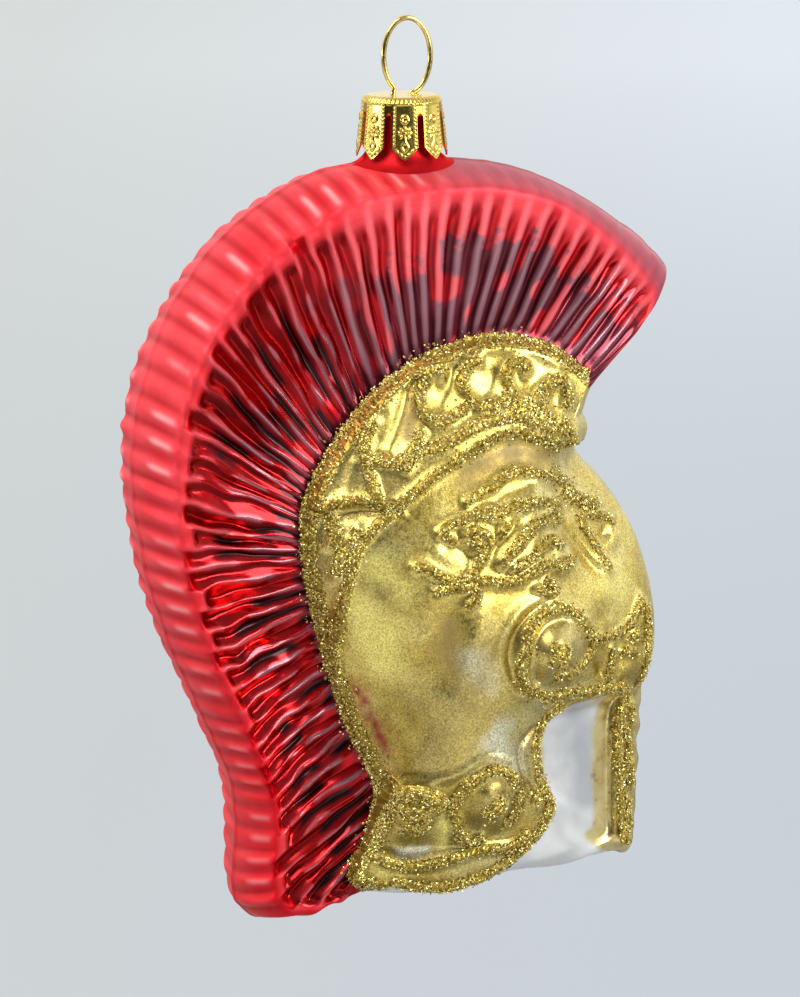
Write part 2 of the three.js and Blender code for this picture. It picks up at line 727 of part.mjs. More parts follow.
// Shares of a step, ahead of and behind a station, at which the glass's height is read
const alongShares = Array.from({ length: 15 }, (unused, i) => (i - 7) / 10);

// A raised line of glitter that lies a small gap over the glass
function strand({ points, width, lift = 0 }, heightAt) {
  const positions = [];
  const faces = [];
  const sides = 5;
  const stations = stationsAlong(points);
  for (const station of stations) {
    const half = (station.end ? 0.6 : 1) * (width / 2);
    const highest = (across) => {
      const reads = alongShares.map((along) => heightAt(
        station.x - station.runZ * across + station.runX * along * station.step,
        station.z + station.runX * across + station.runZ * along * station.step,
      ));
      return Math.max(...reads);
    };
    const low = Math.max(highest(-half * 1.1), highest(-half), highest(-half * 0.75));
    const high = Math.max(highest(half * 1.1), highest(half), highest(half * 0.75));
    const inner = Math.max(highest(-half / 2), highest(0), highest(half / 2));
    const bed = Math.max(inner - (low + high) / 2, 0) + gap + lift;
    const put = (across, over) => positions.push(
      station.x - station.runZ * across,
      -(mix(low, high, across / half / 2 + 0.5) + bed + over),
      station.z + station.runX * across,
    );
    put(-half, 0);
    put(half, 0);
    put(half * 0.7, glitterHeight * 0.7);
    put(0, glitterHeight);
    put(-half * 0.7, glitterHeight * 0.7);
  }
  for (let i = 0; i + 1 < stations.length; i += 1) {
    for (let s = 0; s < sides; s += 1) {
      const next = (s + 1) % sides;
      const corners = [i * sides + s, i * sides + next, (i + 1) * sides + next, (i + 1) * sides + s];
      faces.push(corners[0], corners[1], corners[2], corners[0], corners[2], corners[3]);
    }
  }
  const last = (stations.length - 1) * sides;
  for (let s = 1; s + 1 < sides; s += 1) {
    faces.push(0, s + 1, s, last, last + s, last + s + 1);
  }
  return solidOf(positions, faces);
}

// Places along the helmet's border line between two sections, a little way onto the bulge
function borderPoints(from, to) {
  const middle = { x: alongX(bulgeMiddle.x), z: downZ(bulgeMiddle.down) };
  const points = [];
  for (let i = from; i <= to; i += 1) {
    const [x, z] = columnAt(i % sections.length).line;
    const reach = Math.hypot(middle.x - x, middle.z - z);
    points.push([mix(x, middle.x, borderInset / reach), mix(z, middle.z, borderInset / reach)]);
  }
  return points;
}

function wavePath(wave) {
  return Array.from({ length: wavePoints }, (unused, i) => {
    const angle = waveStart + (waveSweep * i) / (wavePoints - 1);
    const radius = wave.radius * glassLength * mix(0.8, 1, i / (wavePoints - 1));
    return [alongX(wave.x) + radius * Math.cos(angle), downZ(wave.down) + radius * Math.sin(angle)];
  });
}

// Every glitter line of the right side, by name
function glitterPaths() {
  const inPlace = (points) => points.map(([x, down]) => [alongX(x), downZ(down)]);
  const foot = crestSections.length;
  const paths = {
    crest_line: { width: crestLineWidth, lift: valleyLift, points: borderPoints(0, foot - 2) },
    hem_line: { width: hemLineWidth, lift: valleyLift / 2, points: borderPoints(foot, foot + 5) },
    cheek_line: { width: cheekLineWidth, points: borderPoints(foot + 7, foot + 13) },
    diadem_line: { width: 1.7, points: inPlace(diademLine) },
  };
  for (const [name, line] of Object.entries(glitterLines)) {
    paths[name] = { width: line.width, points: inPlace(line.points) };
  }
  waves.forEach((wave, i) => {
    paths[`wave_${i + 1}`] = { width: waveWidth, points: wavePath(wave) };
  });
  return paths;
}

function addMesh(parent, name, solid, material) {
  const mesh = new THREE.Mesh(geometryOf(solid), material);
  mesh.name = name;
  parent.add(mesh);
}

function addGlitter(parent, half) {
  const heightAt = heightReader(half);
  for (const [name, line] of Object.entries(glitterPaths())) {
    const right = strand(line, heightAt);
    addMesh(parent, `glitter_${name}_right`, right, materials.glitter);
    addMesh(parent, `glitter_${name}_left`, right.mirror([0, 1, 0]), materials.glitter);
  }
}

const ornament = new THREE.Group();
const glass = makeGlass();
addMesh(ornament, 'glass_body', glass.solid, materials.glass);
addMesh(ornament, 'cap', makeCap(), materials.brass);
addMesh(ornament, 'hanger_wire', makeWire(), materials.brass);
addGlitter(ornament, glass.half);

export default ornament;
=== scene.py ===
import itertools
import math

import bpy
import numpy as np
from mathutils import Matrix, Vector
from mathutils.bvhtree import BVHTree


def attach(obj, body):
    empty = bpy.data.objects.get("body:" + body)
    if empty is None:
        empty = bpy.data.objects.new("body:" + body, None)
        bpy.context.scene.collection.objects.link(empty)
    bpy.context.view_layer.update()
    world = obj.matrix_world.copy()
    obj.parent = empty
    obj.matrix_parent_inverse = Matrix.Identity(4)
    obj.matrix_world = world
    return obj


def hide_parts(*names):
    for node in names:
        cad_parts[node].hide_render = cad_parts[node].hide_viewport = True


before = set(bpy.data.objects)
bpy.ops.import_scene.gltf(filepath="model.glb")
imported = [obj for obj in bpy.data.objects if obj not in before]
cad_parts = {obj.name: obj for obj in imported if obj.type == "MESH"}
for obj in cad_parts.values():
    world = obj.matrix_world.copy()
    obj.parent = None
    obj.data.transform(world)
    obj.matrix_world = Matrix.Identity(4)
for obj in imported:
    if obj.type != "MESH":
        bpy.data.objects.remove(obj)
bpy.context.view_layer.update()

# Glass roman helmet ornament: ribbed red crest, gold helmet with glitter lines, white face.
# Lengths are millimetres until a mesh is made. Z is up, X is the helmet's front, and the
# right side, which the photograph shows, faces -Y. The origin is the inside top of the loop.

SEED = 41
MM = 0.001

# Driving sizes, the same as the CAD's
glass_length, glass_height, glass_thickness = 80, 108, 40
rib_count = 56
neck_radius = 4.8
cap_top_radius, cap_shoulder_radius, cap_skirt_radius = 4.9, 5.7, 6.5
cap_height, cap_chamfer, cap_band_height, cap_wall = 8.7, 0.9, 2.6, 0.4
petal_count, petal_gap_share, petal_phase = 8, 0.22, math.radians(29)
wire_diameter, loop_height, loop_width, loop_lean = 0.78, 10.4, 7.5, 0.8
leg_spacing, leg_length, neck_bore_radius = 2.6, 14, 3.8


def via(*thousandths):
    """Points from pairs of numbers: x and down, in thousandths of the glass's length and height"""
    return [[x / 1000, down / 1000] for x, down in zip(thousandths[::2], thousandths[1::2])]


half_thickness = glass_thickness / 2
axis_x = -loop_lean
cap_top = -loop_height
crown_top = cap_top - cap_height - 0.8
neck_top = cap_top - cap_wall - 0.3

# Crest sections: seam x, seam down, line x, line down, rim, edge, root
crest_rows = [
    [0.508, 0.165, 0.313, 0.283, 0.20, 0.20, 0.42],
    [0.458, 0.121, 0.275, 0.262, 0.18, 0.32, 0.44],
    [0.396, 0.085, 0.230, 0.241, 0.16, 0.42, 0.46],
    [0.301, 0.043, 0.175, 0.228, 0.12, 0.52, 0.47],
    [0.208, 0.015, 0.120, 0.225, 0.105, 0.58, 0.47],
    [0.098, 0.000, 0.063, 0.232, 0.095, 0.62, 0.47],
    [-0.015, 0.000, 0.002, 0.246, 0.095, 0.63, 0.47],
    [-0.135, 0.006, -0.055, 0.270, 0.105, 0.63, 0.47],
    [-0.248, 0.041, -0.108, 0.301, 0.12, 0.63, 0.47],
    [-0.342, 0.094, -0.150, 0.336, 0.11, 0.63, 0.47],
    [-0.418, 0.165, -0.185, 0.374, 0.11, 0.63, 0.47],
    [-0.470, 0.246, -0.210, 0.406, 0.10, 0.64, 0.47],
    [-0.498, 0.330, -0.224, 0.435, 0.10, 0.64, 0.47],
    [-0.502, 0.408, -0.228, 0.465, 0.10, 0.64, 0.47],
    [-0.490, 0.482, -0.226, 0.498, 0.10, 0.64, 0.47],
    [-0.468, 0.556, -0.219, 0.535, 0.10, 0.64, 0.47],
    [-0.433, 0.631, -0.206, 0.578, 0.10, 0.63, 0.47],
    [-0.393, 0.695, -0.191, 0.624, 0.11, 0.62, 0.47],
    [-0.353, 0.760, -0.170, 0.676, 0.11, 0.62, 0.47],
    [-0.323, 0.816, -0.145, 0.728, 0.12, 0.60, 0.47],
    [-0.314, 0.871, -0.113, 0.776, 0.12, 0.58, 0.48],
    [-0.320, 0.927, -0.088, 0.811, 0.13, 0.56, 0.49],
    [-0.315, 0.973, -0.084, 0.843, 0.14, 0.53, 0.50],
    [-0.275, 0.998, -0.095, 0.870, 0.15, 0.50, 0.51],
    [-0.215, 0.994, -0.115, 0.898, 0.17, 0.48, 0.52],
    [-0.150, 0.980, -0.140, 0.931, 0.20, 0.42, 0.55],
]

# Sections under the helmet and up its front: seam x, seam down, line x, line down, root, kind
front_rows = [
    [-0.078, 0.977, -0.078, 0.943, 0.60, "under"],
    [0.010, 0.984, -0.009, 0.955, 0.63, "under"],
    [0.098, 0.980, 0.060, 0.952, 0.65, "under"],
    [0.185, 0.969, 0.129, 0.933, 0.66, "under"],
    [0.260, 0.958, 0.179, 0.907, 0.66, "chin"],
    [0.335, 0.952, 0.213, 0.880, 0.66, "chin"],
    [0.398, 0.953, 0.225, 0.857, 0.66, "lip"],
    [0.443, 0.948, 0.221, 0.841, 0.66, "face"],
    [0.451, 0.908, 0.209, 0.826, 0.66, "face"],
    [0.455, 0.857, 0.200, 0.806, 0.66, "face"],
    [0.458, 0.802, 0.196, 0.783, 0.66, "face"],
    [0.461, 0.756, 0.199, 0.761, 0.65, "face"],
    [0.466, 0.723, 0.216, 0.736, 0.64, "face"],
    [0.471, 0.702, 0.255, 0.720, 0.60, "front"],
    [0.476, 0.680, 0.310, 0.711, 0.55, "front"],
    [0.480, 0.654, 0.366, 0.691, 0.50, "front"],
    [0.478, 0.612, 0.389, 0.640, 0.45, "front"],
    [0.463, 0.556, 0.380, 0.580, 0.45, "front"],
    [0.433, 0.496, 0.350, 0.524, 0.43, "front"],
    [0.388, 0.445, 0.313, 0.473, 0.42, "front"],
    [0.343, 0.409, 0.280, 0.427, 0.40, "front"],
    [0.325, 0.388, 0.265, 0.390, 0.42, "front"],
    [0.335, 0.361, 0.271, 0.359, 0.44, "front"],
    [0.325, 0.331, 0.280, 0.333, 0.44, "front"],
    [0.353, 0.298, 0.301, 0.307, 0.43, "front"],
    [0.413, 0.254, 0.310, 0.294, 0.42, "front"],
    [0.468, 0.211, 0.313, 0.288, 0.42, "front"],
]
profiles = {
    "under": [[0, 0], [0.3, 0.35], [0.6, 0.62], [0.85, 0.85], [0.96, 0.95], [1, 1]],
    "chin": [[0, 0], [0.06, 0.34], [0.13, 0.53], [0.4, 0.66], [0.93, 0.77], [1, 1]],
    "lip": [[0, 0], [0.09, 0.30], [0.22, 0.45], [0.34, 0.44], [0.93, 0.765], [1, 1]],
    "face": [[0, 0], [0.1, 0.27], [0.27, 0.41], [0.31, 0.35], [0.93, 0.76], [1, 1]],
    "front": [[0, 0], [0.07, 0.36], [0.2, 0.6], [0.42, 0.8], [0.7, 0.93], [1, 1]],
}
middle_share = (0.048, 0.60)
side_heights = [
    [0.20, 0.66], [0.33, 0.80], [0.44, 0.92], [0.58, 1.00],
    [0.70, 0.98], [0.84, 0.88], [0.96, 0.74],
]

# Raised domes of the relief: x, down, radius as a share of the length, height
domes = [
    [0.220, 0.635, 0.085, 1.3],
    [0.100, 0.832, 0.070, 1.1],
    [-0.040, 0.838, 0.050, 0.8],
    [0.175, 0.470, 0.130, 1.0],
]
diadem_line = via(-196, 438, -131, 428, -78, 431, -44, 416, -8, 397, 28, 379,
                  64, 362, 99, 352, 135, 346, 173, 350, 209, 360, 240, 373)

# Glitter of the right side: for each line its strokes, as a width and points as shares
glitter_strokes = {
    "diadem_line": [
        (1.5, via(-214, 452, -198, 435, -171, 425, -140, 425, -113, 430, -89, 437)),
        (1.7, via(-89, 437, -70, 428, -32, 404, 7, 387, 48, 371, 88, 357, 127, 348, 166, 350,
                  205, 360, 240, 373)),
        (2.4, via(241, 338, 256, 349, 272, 362, 276, 376)),
    ],
    "wave_1": [
        (1.6, via(21, 267, 18, 259, 5, 261, -12, 276, -25, 294, -22, 312, -7, 325, 22, 324,
                  47, 314, 64, 304))],
    "wave_2": [
        (1.5, via(93, 252, 83, 252, 68, 260, 56, 275, 58, 291, 72, 305, 95, 309, 122, 304,
                  142, 294))],
    "wave_3": [
        (1.5, via(181, 270, 177, 259, 157, 256, 142, 266, 138, 281, 148, 299, 165, 308, 187, 310,
                  205, 294))],
    "wave_4": [
        (1.5, via(205, 294, 224, 285, 242, 284, 257, 293, 260, 308, 252, 321)),
        (1.6, via(207, 297, 204, 315, 210, 334))],
    "wave_band": [
        (1.8, via(-65, 383, -42, 365, -12, 359, 20, 352, 52, 340, 83, 331, 114, 326, 145, 325,
                  176, 331, 207, 342, 232, 353)),
        (2.6, via(115, 320, 146, 318, 174, 319, 201, 328, 224, 342)),
        (1.5, via(-127, 377, -120, 397, -116, 415, -113, 428)),
        (2.2, via(-110, 324, -122, 341, -127, 356, -126, 377)),
        (1.9, via(-126, 377, -100, 374, -72, 376, -49, 365, -36, 350, -27, 337))],
    "tie": [
        (1.6, via(-76, 438, -102, 448, -124, 464, -146, 483, -157, 505, -164, 528, -171, 554,
                  -174, 583, -176, 616, -176, 646)),
        (2.2, via(-162, 478, -172, 501, -178, 523))],
    "tie_knot": [
        (2.2, via(-190, 444, -183, 463, -187, 485)),
        (1.6, via(-147, 462, -159, 481))],
    "mane_top": [
        (1.1, via(42, 431, 66, 421, 99, 411, 117, 402, 150, 395, 183, 400, 207, 406))],
    "mane_brow": [
        (2.2, via(216, 400, 264, 426, 283, 446, 308, 454, 339, 461)),
        (2.0, via(255, 433, 270, 446)),
        (1.2, via(300, 465, 317, 470, 346, 475, 371, 485))],
    "mane_upper": [
        (1.3, via(-10, 468, 7, 459, 39, 451, 62, 446, 92, 448, 121, 439, 147, 435)),
        (1.9, via(62, 447, 89, 445)),
        (1.9, via(130, 437, 150, 437)),
        (1.3, via(147, 435, 184, 435, 239, 448)),
        (1.1, via(-10, 468, 12, 477))],
    "mane_curl": [
        (1.5, via(37, 472, 59, 466, 76, 476, 72, 492, 54, 490)),
        (1.5, via(51, 477, 58, 482))],
    "mane_middle": [
        (1.6, via(101, 510, 118, 495, 142, 479, 165, 465, 204, 460, 236, 459)),
        (1.1, via(100, 472, 117, 462))],
    "mane_tip": [
        (1.5, via(126, 519, 154, 509, 183, 495, 210, 488, 231, 498))],
    "mane_back": [
        (1.4, via(-58, 510, -37, 511, -15, 523, 16, 529, 40, 525, 56, 509, 65, 498)),
        (1.3, via(-24, 543, 0, 537, 31, 538, 51, 542, 47, 555, 34, 567))],
    "mane_lower": [
        (1.3, via(51, 530, 77, 532, 104, 535, 134, 534, 163, 524, 200, 518, 229, 524, 258, 518)),
        (2.2, via(219, 523, 244, 521)),
        (1.2, via(170, 548, 197, 557, 212, 550, 191, 540))],
    "mane_side": [
        (1.2, via(290, 468, 297, 486, 315, 502, 326, 521, 344, 539))],
    "brow_scroll": [
        (1.7, via(222, 575, 190, 578, 159, 594, 145, 618, 139, 646, 143, 671, 164, 688, 214, 700,
                  263, 701, 314, 703, 355, 705, 404, 715)),
        (1.5, via(222, 575, 257, 592, 280, 613, 291, 637, 269, 658, 234, 668, 203, 669)),
        (1.4, via(291, 626, 340, 629, 384, 625, 409, 606, 422, 590))],
    "brow_bead": [
        (3.6, via(213, 622, 207, 638, 200, 654)),
        (2.2, via(397, 632, 408, 642)),
        (1.2, via(346, 647, 342, 669, 340, 694)),
        (1.1, via(371, 655, 407, 663))],
    "nose": [
        (1.8, via(413, 726, 394, 756, 390, 781, 390, 808, 396, 835, 401, 862, 405, 889, 408, 916,
                  417, 933)),
        (1.4, via(438, 600, 442, 630, 440, 660, 432, 690, 421, 716)),
        (1.3, via(428, 744, 424, 768)),
        (1.3, via(423, 823, 425, 855)),
        (1.3, via(411, 772, 418, 800, 412, 825)),
        (1.4, via(416, 872, 421, 895, 424, 915))],
    "inner_hem": [
        (1.5, via(-103, 908, -64, 918, -20, 917, 22, 913, 60, 905, 93, 901, 142, 902, 179, 889))],
    "cheek_scroll": [
        (1.7, via(12, 839, 26, 834, 33, 818, 53, 805, 80, 793, 104, 789, 131, 800, 145, 818,
                  150, 840, 140, 859, 118, 866)),
        (4.0, via(88, 834, 98, 841, 108, 847)),
        (1.5, via(12, 839, 32, 856, 39, 876, 59, 890, 87, 884))],
    "cheek_leaf": [
        (2.4, via(-76, 822, -50, 817, -19, 821, 8, 838)),
        (2.4, via(-64, 838, -46, 847, -26, 842)),
        (2.0, via(-58, 858, -45, 869, -28, 857))],
}

# Smooth relief without glitter: height, half width, and points
strokes = [
    (-0.60, 0.8, via(238, 472, 263, 498, 290, 523, 313, 543)),
    (0.50, 0.8, via(271, 474, 298, 507, 320, 528, 348, 546)),
    (0.45, 1.2, via(218, 566, 260, 579, 298, 614, 341, 612)),
    (0.40, 0.9, via(195, 562, 146, 570, 113, 594, 93, 626, 106, 658, 141, 691, 218, 719)),
    (-0.35, 0.7, via(177, 571, 133, 597, 117, 628, 121, 657, 142, 685)),
    (-0.55, 0.8, via(221, 594, 189, 599, 168, 620, 165, 645, 174, 670)),
    (-0.60, 1.1, via(306, 649, 319, 675)),
    (0.50, 0.9, via(-142, 319, -74, 284, -7, 256, 62, 241, 126, 237, 196, 244, 246, 265)),
    (-0.60, 1.0, via(-28, 279, -51, 311, -67, 341, -81, 362)),
    (-0.45, 0.9, via(47, 267, 36, 288, 18, 308)),
    (-0.40, 0.9, via(121, 275, 110, 293, 94, 300)),
    (0.25, 0.60, via(-137, 342, -166, 368, -191, 394, -208, 425)),
    (0.20, 0.60, via(-147, 377, -157, 402, -171, 424)),
    (-0.50, 0.7, via(-189, 455, -162, 445, -133, 439, -102, 440, -80, 440)),
    (-0.55, 0.5, via(177, 744, 150, 761, 151, 788, 164, 811, 181, 829)),
    (0.45, 0.8, via(-62, 803, -18, 800, 30, 791, 64, 776, 103, 774, 137, 788, 160, 811)),
    (-0.40, 0.8, via(64, 434, 95, 432, 129, 422, 168, 412)),
    (-0.45, 0.9, via(3, 485, 26, 491, 41, 503)),
    (-0.40, 0.8, via(87, 493, 107, 480, 129, 462)),
    (-0.45, 0.8, via(129, 511, 164, 499, 189, 482, 218, 478)),
    (0.40, 0.7, via(117, 516, 150, 503, 179, 483, 219, 475)),
    (-0.70, 3.2, via(-2, 583, -2, 616, 7, 645)),
    (0.40, 2.0, via(53, 569, 47, 610, 30, 651)),
    (0.35, 2.0, via(-56, 872, -10, 860, 13, 869)),
    (-0.35, 1.2, via(-90, 889, 0, 893, 70, 895)),
]

# Round lumps and hollows: x, down, radius, height
lumps = [
    [0.329, 0.564, 4.2, 0.9], [0.348, 0.500, 1.2, -0.7], [0.361, 0.506, 2.2, 0.5],
    [0.174, 0.424, 1.5, 0.5], [0.224, 0.510, 1.3, 0.4], [0.208, 0.636, 2.6, 1.0],
    [0.383, 0.682, 2.0, 0.7], [0.403, 0.637, 1.4, 0.4], [0.103, 0.849, 1.9, 0.7],
    [0.072, 0.836, 1.3, -0.4], [0.431, 0.742, 1.0, 0.3], [0.424, 0.768, 1.0, 0.3],
    [0.430, 0.824, 1.0, 0.3], [0.422, 0.875, 1.2, 0.3], [0.416, 0.928, 1.0, 0.25],
    [-0.126, 0.543, 7.0, 0.5], [0.013, 0.292, 1.8, -0.4], [0.101, 0.279, 2.2, -0.4],
    [0.166, 0.285, 1.6, -0.4], [0.232, 0.312, 1.4, -0.4], [-0.088, 0.308, 3.0, 0.6],
]


def along_x(share):
    return axis_x + np.asarray(share) * glass_length


def down_z(share):
    return crown_top - np.asarray(share) * glass_height


def in_place(points):
    return np.array([[along_x(x), down_z(down)] for x, down in points])


def mix(a, b, t):
    return a + (b - a) * t


def smooth(t):
    u = np.clip(t, 0, 1)
    return u * u * (3 - 2 * u)


def lattice(ids, seed):
    """Repeatable numbers from 0 to 1 for whole-number places"""
    value = np.full(ids[0].shape, seed * 374761393 & 0xFFFFFFFF, dtype=np.uint64)
    for axis, prime in zip(ids, (668265263, 2246822519, 3266489917)):
        step = axis.astype(np.int64).astype(np.uint64) * np.uint64(prime)
        value = (value ^ step) & np.uint64(0xFFFFFFFF)
        value = (value * np.uint64(2654435761)) & np.uint64(0xFFFFFFFF)
        value ^= value >> np.uint64(15)
    return value.astype(float) / 0xFFFFFFFF


def noise(points, cell, seed):
    """Smooth noise from -1 to 1; points are (..., 1 to 3)"""
    points = np.asarray(points, float) / cell
    low = np.floor(points)
    part = points - low
    part = part * part * (3 - 2 * part)
    axes = points.shape[-1]
    total = 0
    for corner in itertools.product((0, 1), repeat=axes):
        weight = 1
        ids = []
        for k, step in enumerate(corner):
            weight = weight * (part[..., k] if step else 1 - part[..., k])
            ids.append(low[..., k] + step)
        total = total + weight * lattice(ids, seed)
    return total * 2 - 1


def noise_at(seed, *places):
    return noise(np.stack(places, -1), 1, seed)


def spline(a, b, c, d, t):
    bend = 2 * a - 5 * b + 4 * c - d
    twist = 3 * b - a - 3 * c + d
    return b + 0.5 * t * (c - a + t * (bend + t * twist))


# Rows of a section, from the seam to the line. Row `shoulder_row` is the crest's shoulder and the
# nose guard's edge, row `cheek_row` is the cheek's edge.
row_count = 61
shoulder_row, cheek_row = 22, 53


def bell(reach, sigma):
    """A kernel that blurs, with the sum 1"""
    kernel = np.exp(-0.5 * (np.arange(-reach, reach + 1) / sigma) ** 2)
    return kernel / kernel.sum()


def convolved(table, kernel, axis):
    """A table blurred along one axis, with its ends carried on level"""
    padding = [(0, 0), (0, 0)]
    padding[axis] = (len(kernel) // 2, len(kernel) // 2)
    padded = np.pad(table, padding, "edge")
    return np.apply_along_axis(lambda line: np.convolve(line, kernel, "valid"), axis, padded)


def run_along(points):
    """How far along a line each of its points is"""
    return np.concatenate([[0], np.cumsum(np.hypot(*np.diff(points, axis=0).T))])


def smoothed(points, sigma, step=0.05):
    """An open line resampled and rounded, with its two ends kept"""
    length = run_along(points)
    count = max(int(length[-1] / step), 20)
    at = np.linspace(0, length[-1], count)
    line = np.column_stack([np.interp(at, length, points[:, k]) for k in (0, 1)])
    reach = max(int(3 * sigma / (at[1] - at[0])), 1)
    kernel = bell(reach, reach / 3)
    reach = min(reach, count - 1)
    before = 2 * line[0] - line[reach:0:-1]
    after = 2 * line[-1] - line[-2:-reach - 2:-1]
    padded = np.concatenate([before, line, after])
    rounded = np.column_stack([np.convolve(padded[:, k], kernel, "same") for k in (0, 1)])
    return at / length[-1], rounded[reach:reach + count], length / length[-1]


def section(row, crest):
    """A row of numbers: seam, line, root, then ways and heights of the section's points"""
    seam = np.array([along_x(row[0]), down_z(row[1])])
    line = np.array([along_x(row[2]), down_z(row[3])])
    length = np.hypot(*(line - seam))
    if crest:
        rim, edge, root = row[4], row[5] * half_thickness, row[6] * half_thickness
        crown = [(rim * up ** 1.7, edge * up) for up in np.linspace(0, 1, 9)]
        outline = [*crown, (rim + 0.06, edge * 0.99), (0.5, mix(edge, root, 0.58)),
                   (0.8, mix(edge, root, 0.88)), (1, root)]
        anchors, sigma = (8, 10.9), 0.85
    else:
        root = row[4] * half_thickness
        outline = [(way, share * root) for way, share in profiles[row[5]]]
        anchors = (2.5, 4) if row[5] in ("face", "lip") else (2, 4)
        sigma = 0.3 if row[5] == "face" else 0.5
    outline = np.array([[way * length, height] for way, height in outline])
    at, rounded, marks = smoothed(outline, sigma)
    stops = [0, *np.interp(anchors, np.arange(len(marks)), marks), 1]
    rows = np.interp(np.arange(row_count), [0, shoulder_row, cheek_row, row_count - 1], stops)
    way = np.interp(rows, at, rounded[:, 0]) / length
    height = np.interp(rows, at, rounded[:, 1])
    return np.concatenate([seam, line, [root], way, height])


sections = np.array([section(row, True) for row in crest_rows]
                    + [section(row, False) for row in front_rows])
crest_last = len(crest_rows) - 1
section_count = len(sections)


def columns_at(positions):
    """Sections between the given ones; a position is a section's number"""
    positions = np.asarray(positions, float)
    index = np.floor(positions).astype(int)
    t = (positions - index)[:, None]
    four = [sections[(index + step) % section_count] for step in (-1, 0, 1, 2)]
    return spline(*four, t)


def even_positions(first, last, count):
    """Positions evenly spaced along the middle of the sections"""
    fine = np.linspace(first, last, int((last - first) * 24) + 1)
    data = columns_at(fine)
    middles = mix(data[:, 0:2], data[:, 2:4], 0.4)
    travelled = run_along(middles)
    return np.interp(np.arange(count) / count * travelled[-1], travelled, fine), travelled[-1]


rib_columns, front_columns = 14, 400
crest_positions, crest_run = even_positions(0, crest_last, rib_count * rib_columns)
front_positions, front_run = even_positions(crest_last, section_count, front_columns)
positions = np.concatenate([crest_positions, front_positions])
crest_columns = len(crest_positions)
column_count = len(positions)
data = columns_at(positions)
seams, lines, roots = data[:, 0:2], data[:, 2:4], data[:, 4]
ways, heights = data[:, 5:5 + row_count], np.maximum(data[:, 5 + row_count:], 0)

# Positions of the crest's foot, the chin's end, the nose guard's upper end, the start of the
# smooth dome above it, and the crest's tip
foot_end, chin_end, guard_end, dome_start, tip_start = 25.55, 33.0, 38.45, 39.3, 50.0

# The front's sections melt into each other
melt = (smooth((front_positions - 28) / 1) * smooth((49.5 - front_positions) / 1))[:, None]
for table in (ways, heights):
    part = table[crest_columns:]
    table[crest_columns:] = mix(part, convolved(part, bell(12, 4), 0), melt)

# Phase of the ribs: a whole turn a rib, a crest of a rib at each whole turn
phase = np.zeros(column_count)
phase[:crest_columns] = np.arange(crest_columns) / rib_columns
rib_run = crest_run / rib_count
tip_columns = np.where(front_positions >= tip_start)[0]
to_tip = tip_columns - front_columns
phase[crest_columns:][tip_columns] = to_tip * front_run / front_columns / rib_run
foot_columns = np.where(front_positions < foot_end + 0.6)[0]
from_foot = foot_columns * front_run / front_columns / rib_run
phase[crest_columns:][foot_columns] = rib_count + from_foot

# The whole shell, both sides: rows run from the right side's line over the seam to the left's
rows_signed = np.arange(-(row_count - 1), row_count)
row_index = np.abs(rows_signed)
side = np.sign(rows_signed)
side[side == 0] = 1
way_grid, height_grid = ways[:, row_index], heights[:, row_index]
shell = np.empty((column_count, len(rows_signed), 3))
shell[..., 0] = mix(seams[:, None, 0], lines[:, None, 0], way_grid)
shell[..., 2] = mix(seams[:, None, 1], lines[:, None, 1], way_grid)
shell[..., 1] = height_grid * side


def outward_normals(points):
    """Unit normals of a grid of points with closed columns, turned away from the glass's middle"""
    across = np.roll(points, -1, 0) - np.roll(points, 1, 0)
    normals = np.cross(across, np.gradient(points, axis=1))
    normals = normals / np.maximum(np.linalg.norm(normals, axis=-1, keepdims=True), 1e-9)
    inside = np.array([along_x(middle_share[0]), 0, down_z(middle_share[1])])
    return -normals if ((points - inside) * normals).sum() < 0 else normals


def distance_to_line(x, z, points):
    """Distance from places to a line through points"""
    best = np.full(np.shape(x), np.inf)
    for a, b in zip(points, points[1:]):
        d = b - a
        t = np.clip(((x - a[0]) * d[0] + (z - a[1]) * d[1]) / (d @ d), 0, 1)
        best = np.minimum(best, np.hypot(x - a[0] - t * d[0], z - a[1] - t * d[1]))
    return best


def resampled(points, step):
    """Even stations along a smooth line through the points"""
    points = np.asarray(points, float)
    ends = np.concatenate([[2 * points[0] - points[1]], points, [2 * points[-1] - points[-2]]])
    fine = []
    for i in range(1, len(ends) - 2):
        t = np.linspace(0, 1, 24, endpoint=False)[:, None]
        fine.append(spline(ends[i - 1], ends[i], ends[i + 1], ends[i + 2], t))
    fine = np.concatenate([*fine, points[-1:]])
    run = run_along(fine)
    count = max(int(round(run[-1] / step)), 2)
    at = np.linspace(0, run[-1], count + 1)
    return np.column_stack([np.interp(at, run, fine[:, k]) for k in (0, 1)])


def border(first, last):
    """The helmet's border between two sections, a little way onto its side"""
    at = np.linspace(first, last, int((last - first) * 3) + 1)
    line = columns_at(at)[:, 2:4]
    away = in_place([middle_share])[0] - line
    inset = np.interp(at, [20, 22.5, 24.2, 25.5, 26], [0.5, -0.2, -0.4, -0.2, 0.5])
    return line + away / np.hypot(*away.T)[:, None] * inset[:, None]


paths = {
    "crest_line": [(2.1, border(0, crest_last - 1.2)),
                   (1.9, in_place(via(-78, 795, -85, 820, -92, 845, -100, 868))),
                   (2.0, in_place(via(-100, 868, -108, 884, -122, 904, -136, 922,
                                       -134, 936, -108, 944, -72, 951)))],
    "hem_line": [(1.8, border(crest_last + 1, crest_last + 6))],
    "cheek_line": [(2.1, border(crest_last + 6.2, crest_last + 14)),
                   (2.8, in_place(via(187, 827, 197, 845)))],
}
for name, lines_of in glitter_strokes.items():
    paths[name] = [(width, in_place(points)) for width, points in lines_of]
paths = {name: [(width, resampled(points, 0.35)) for width, points in several]
         for name, several in paths.items()}

# Height of the raised rope of glass under each glitter line
ridge_heights = {"crest_line": 0.25, "hem_line": 0.35, "cheek_line": 0.45, "nose": 0.25}


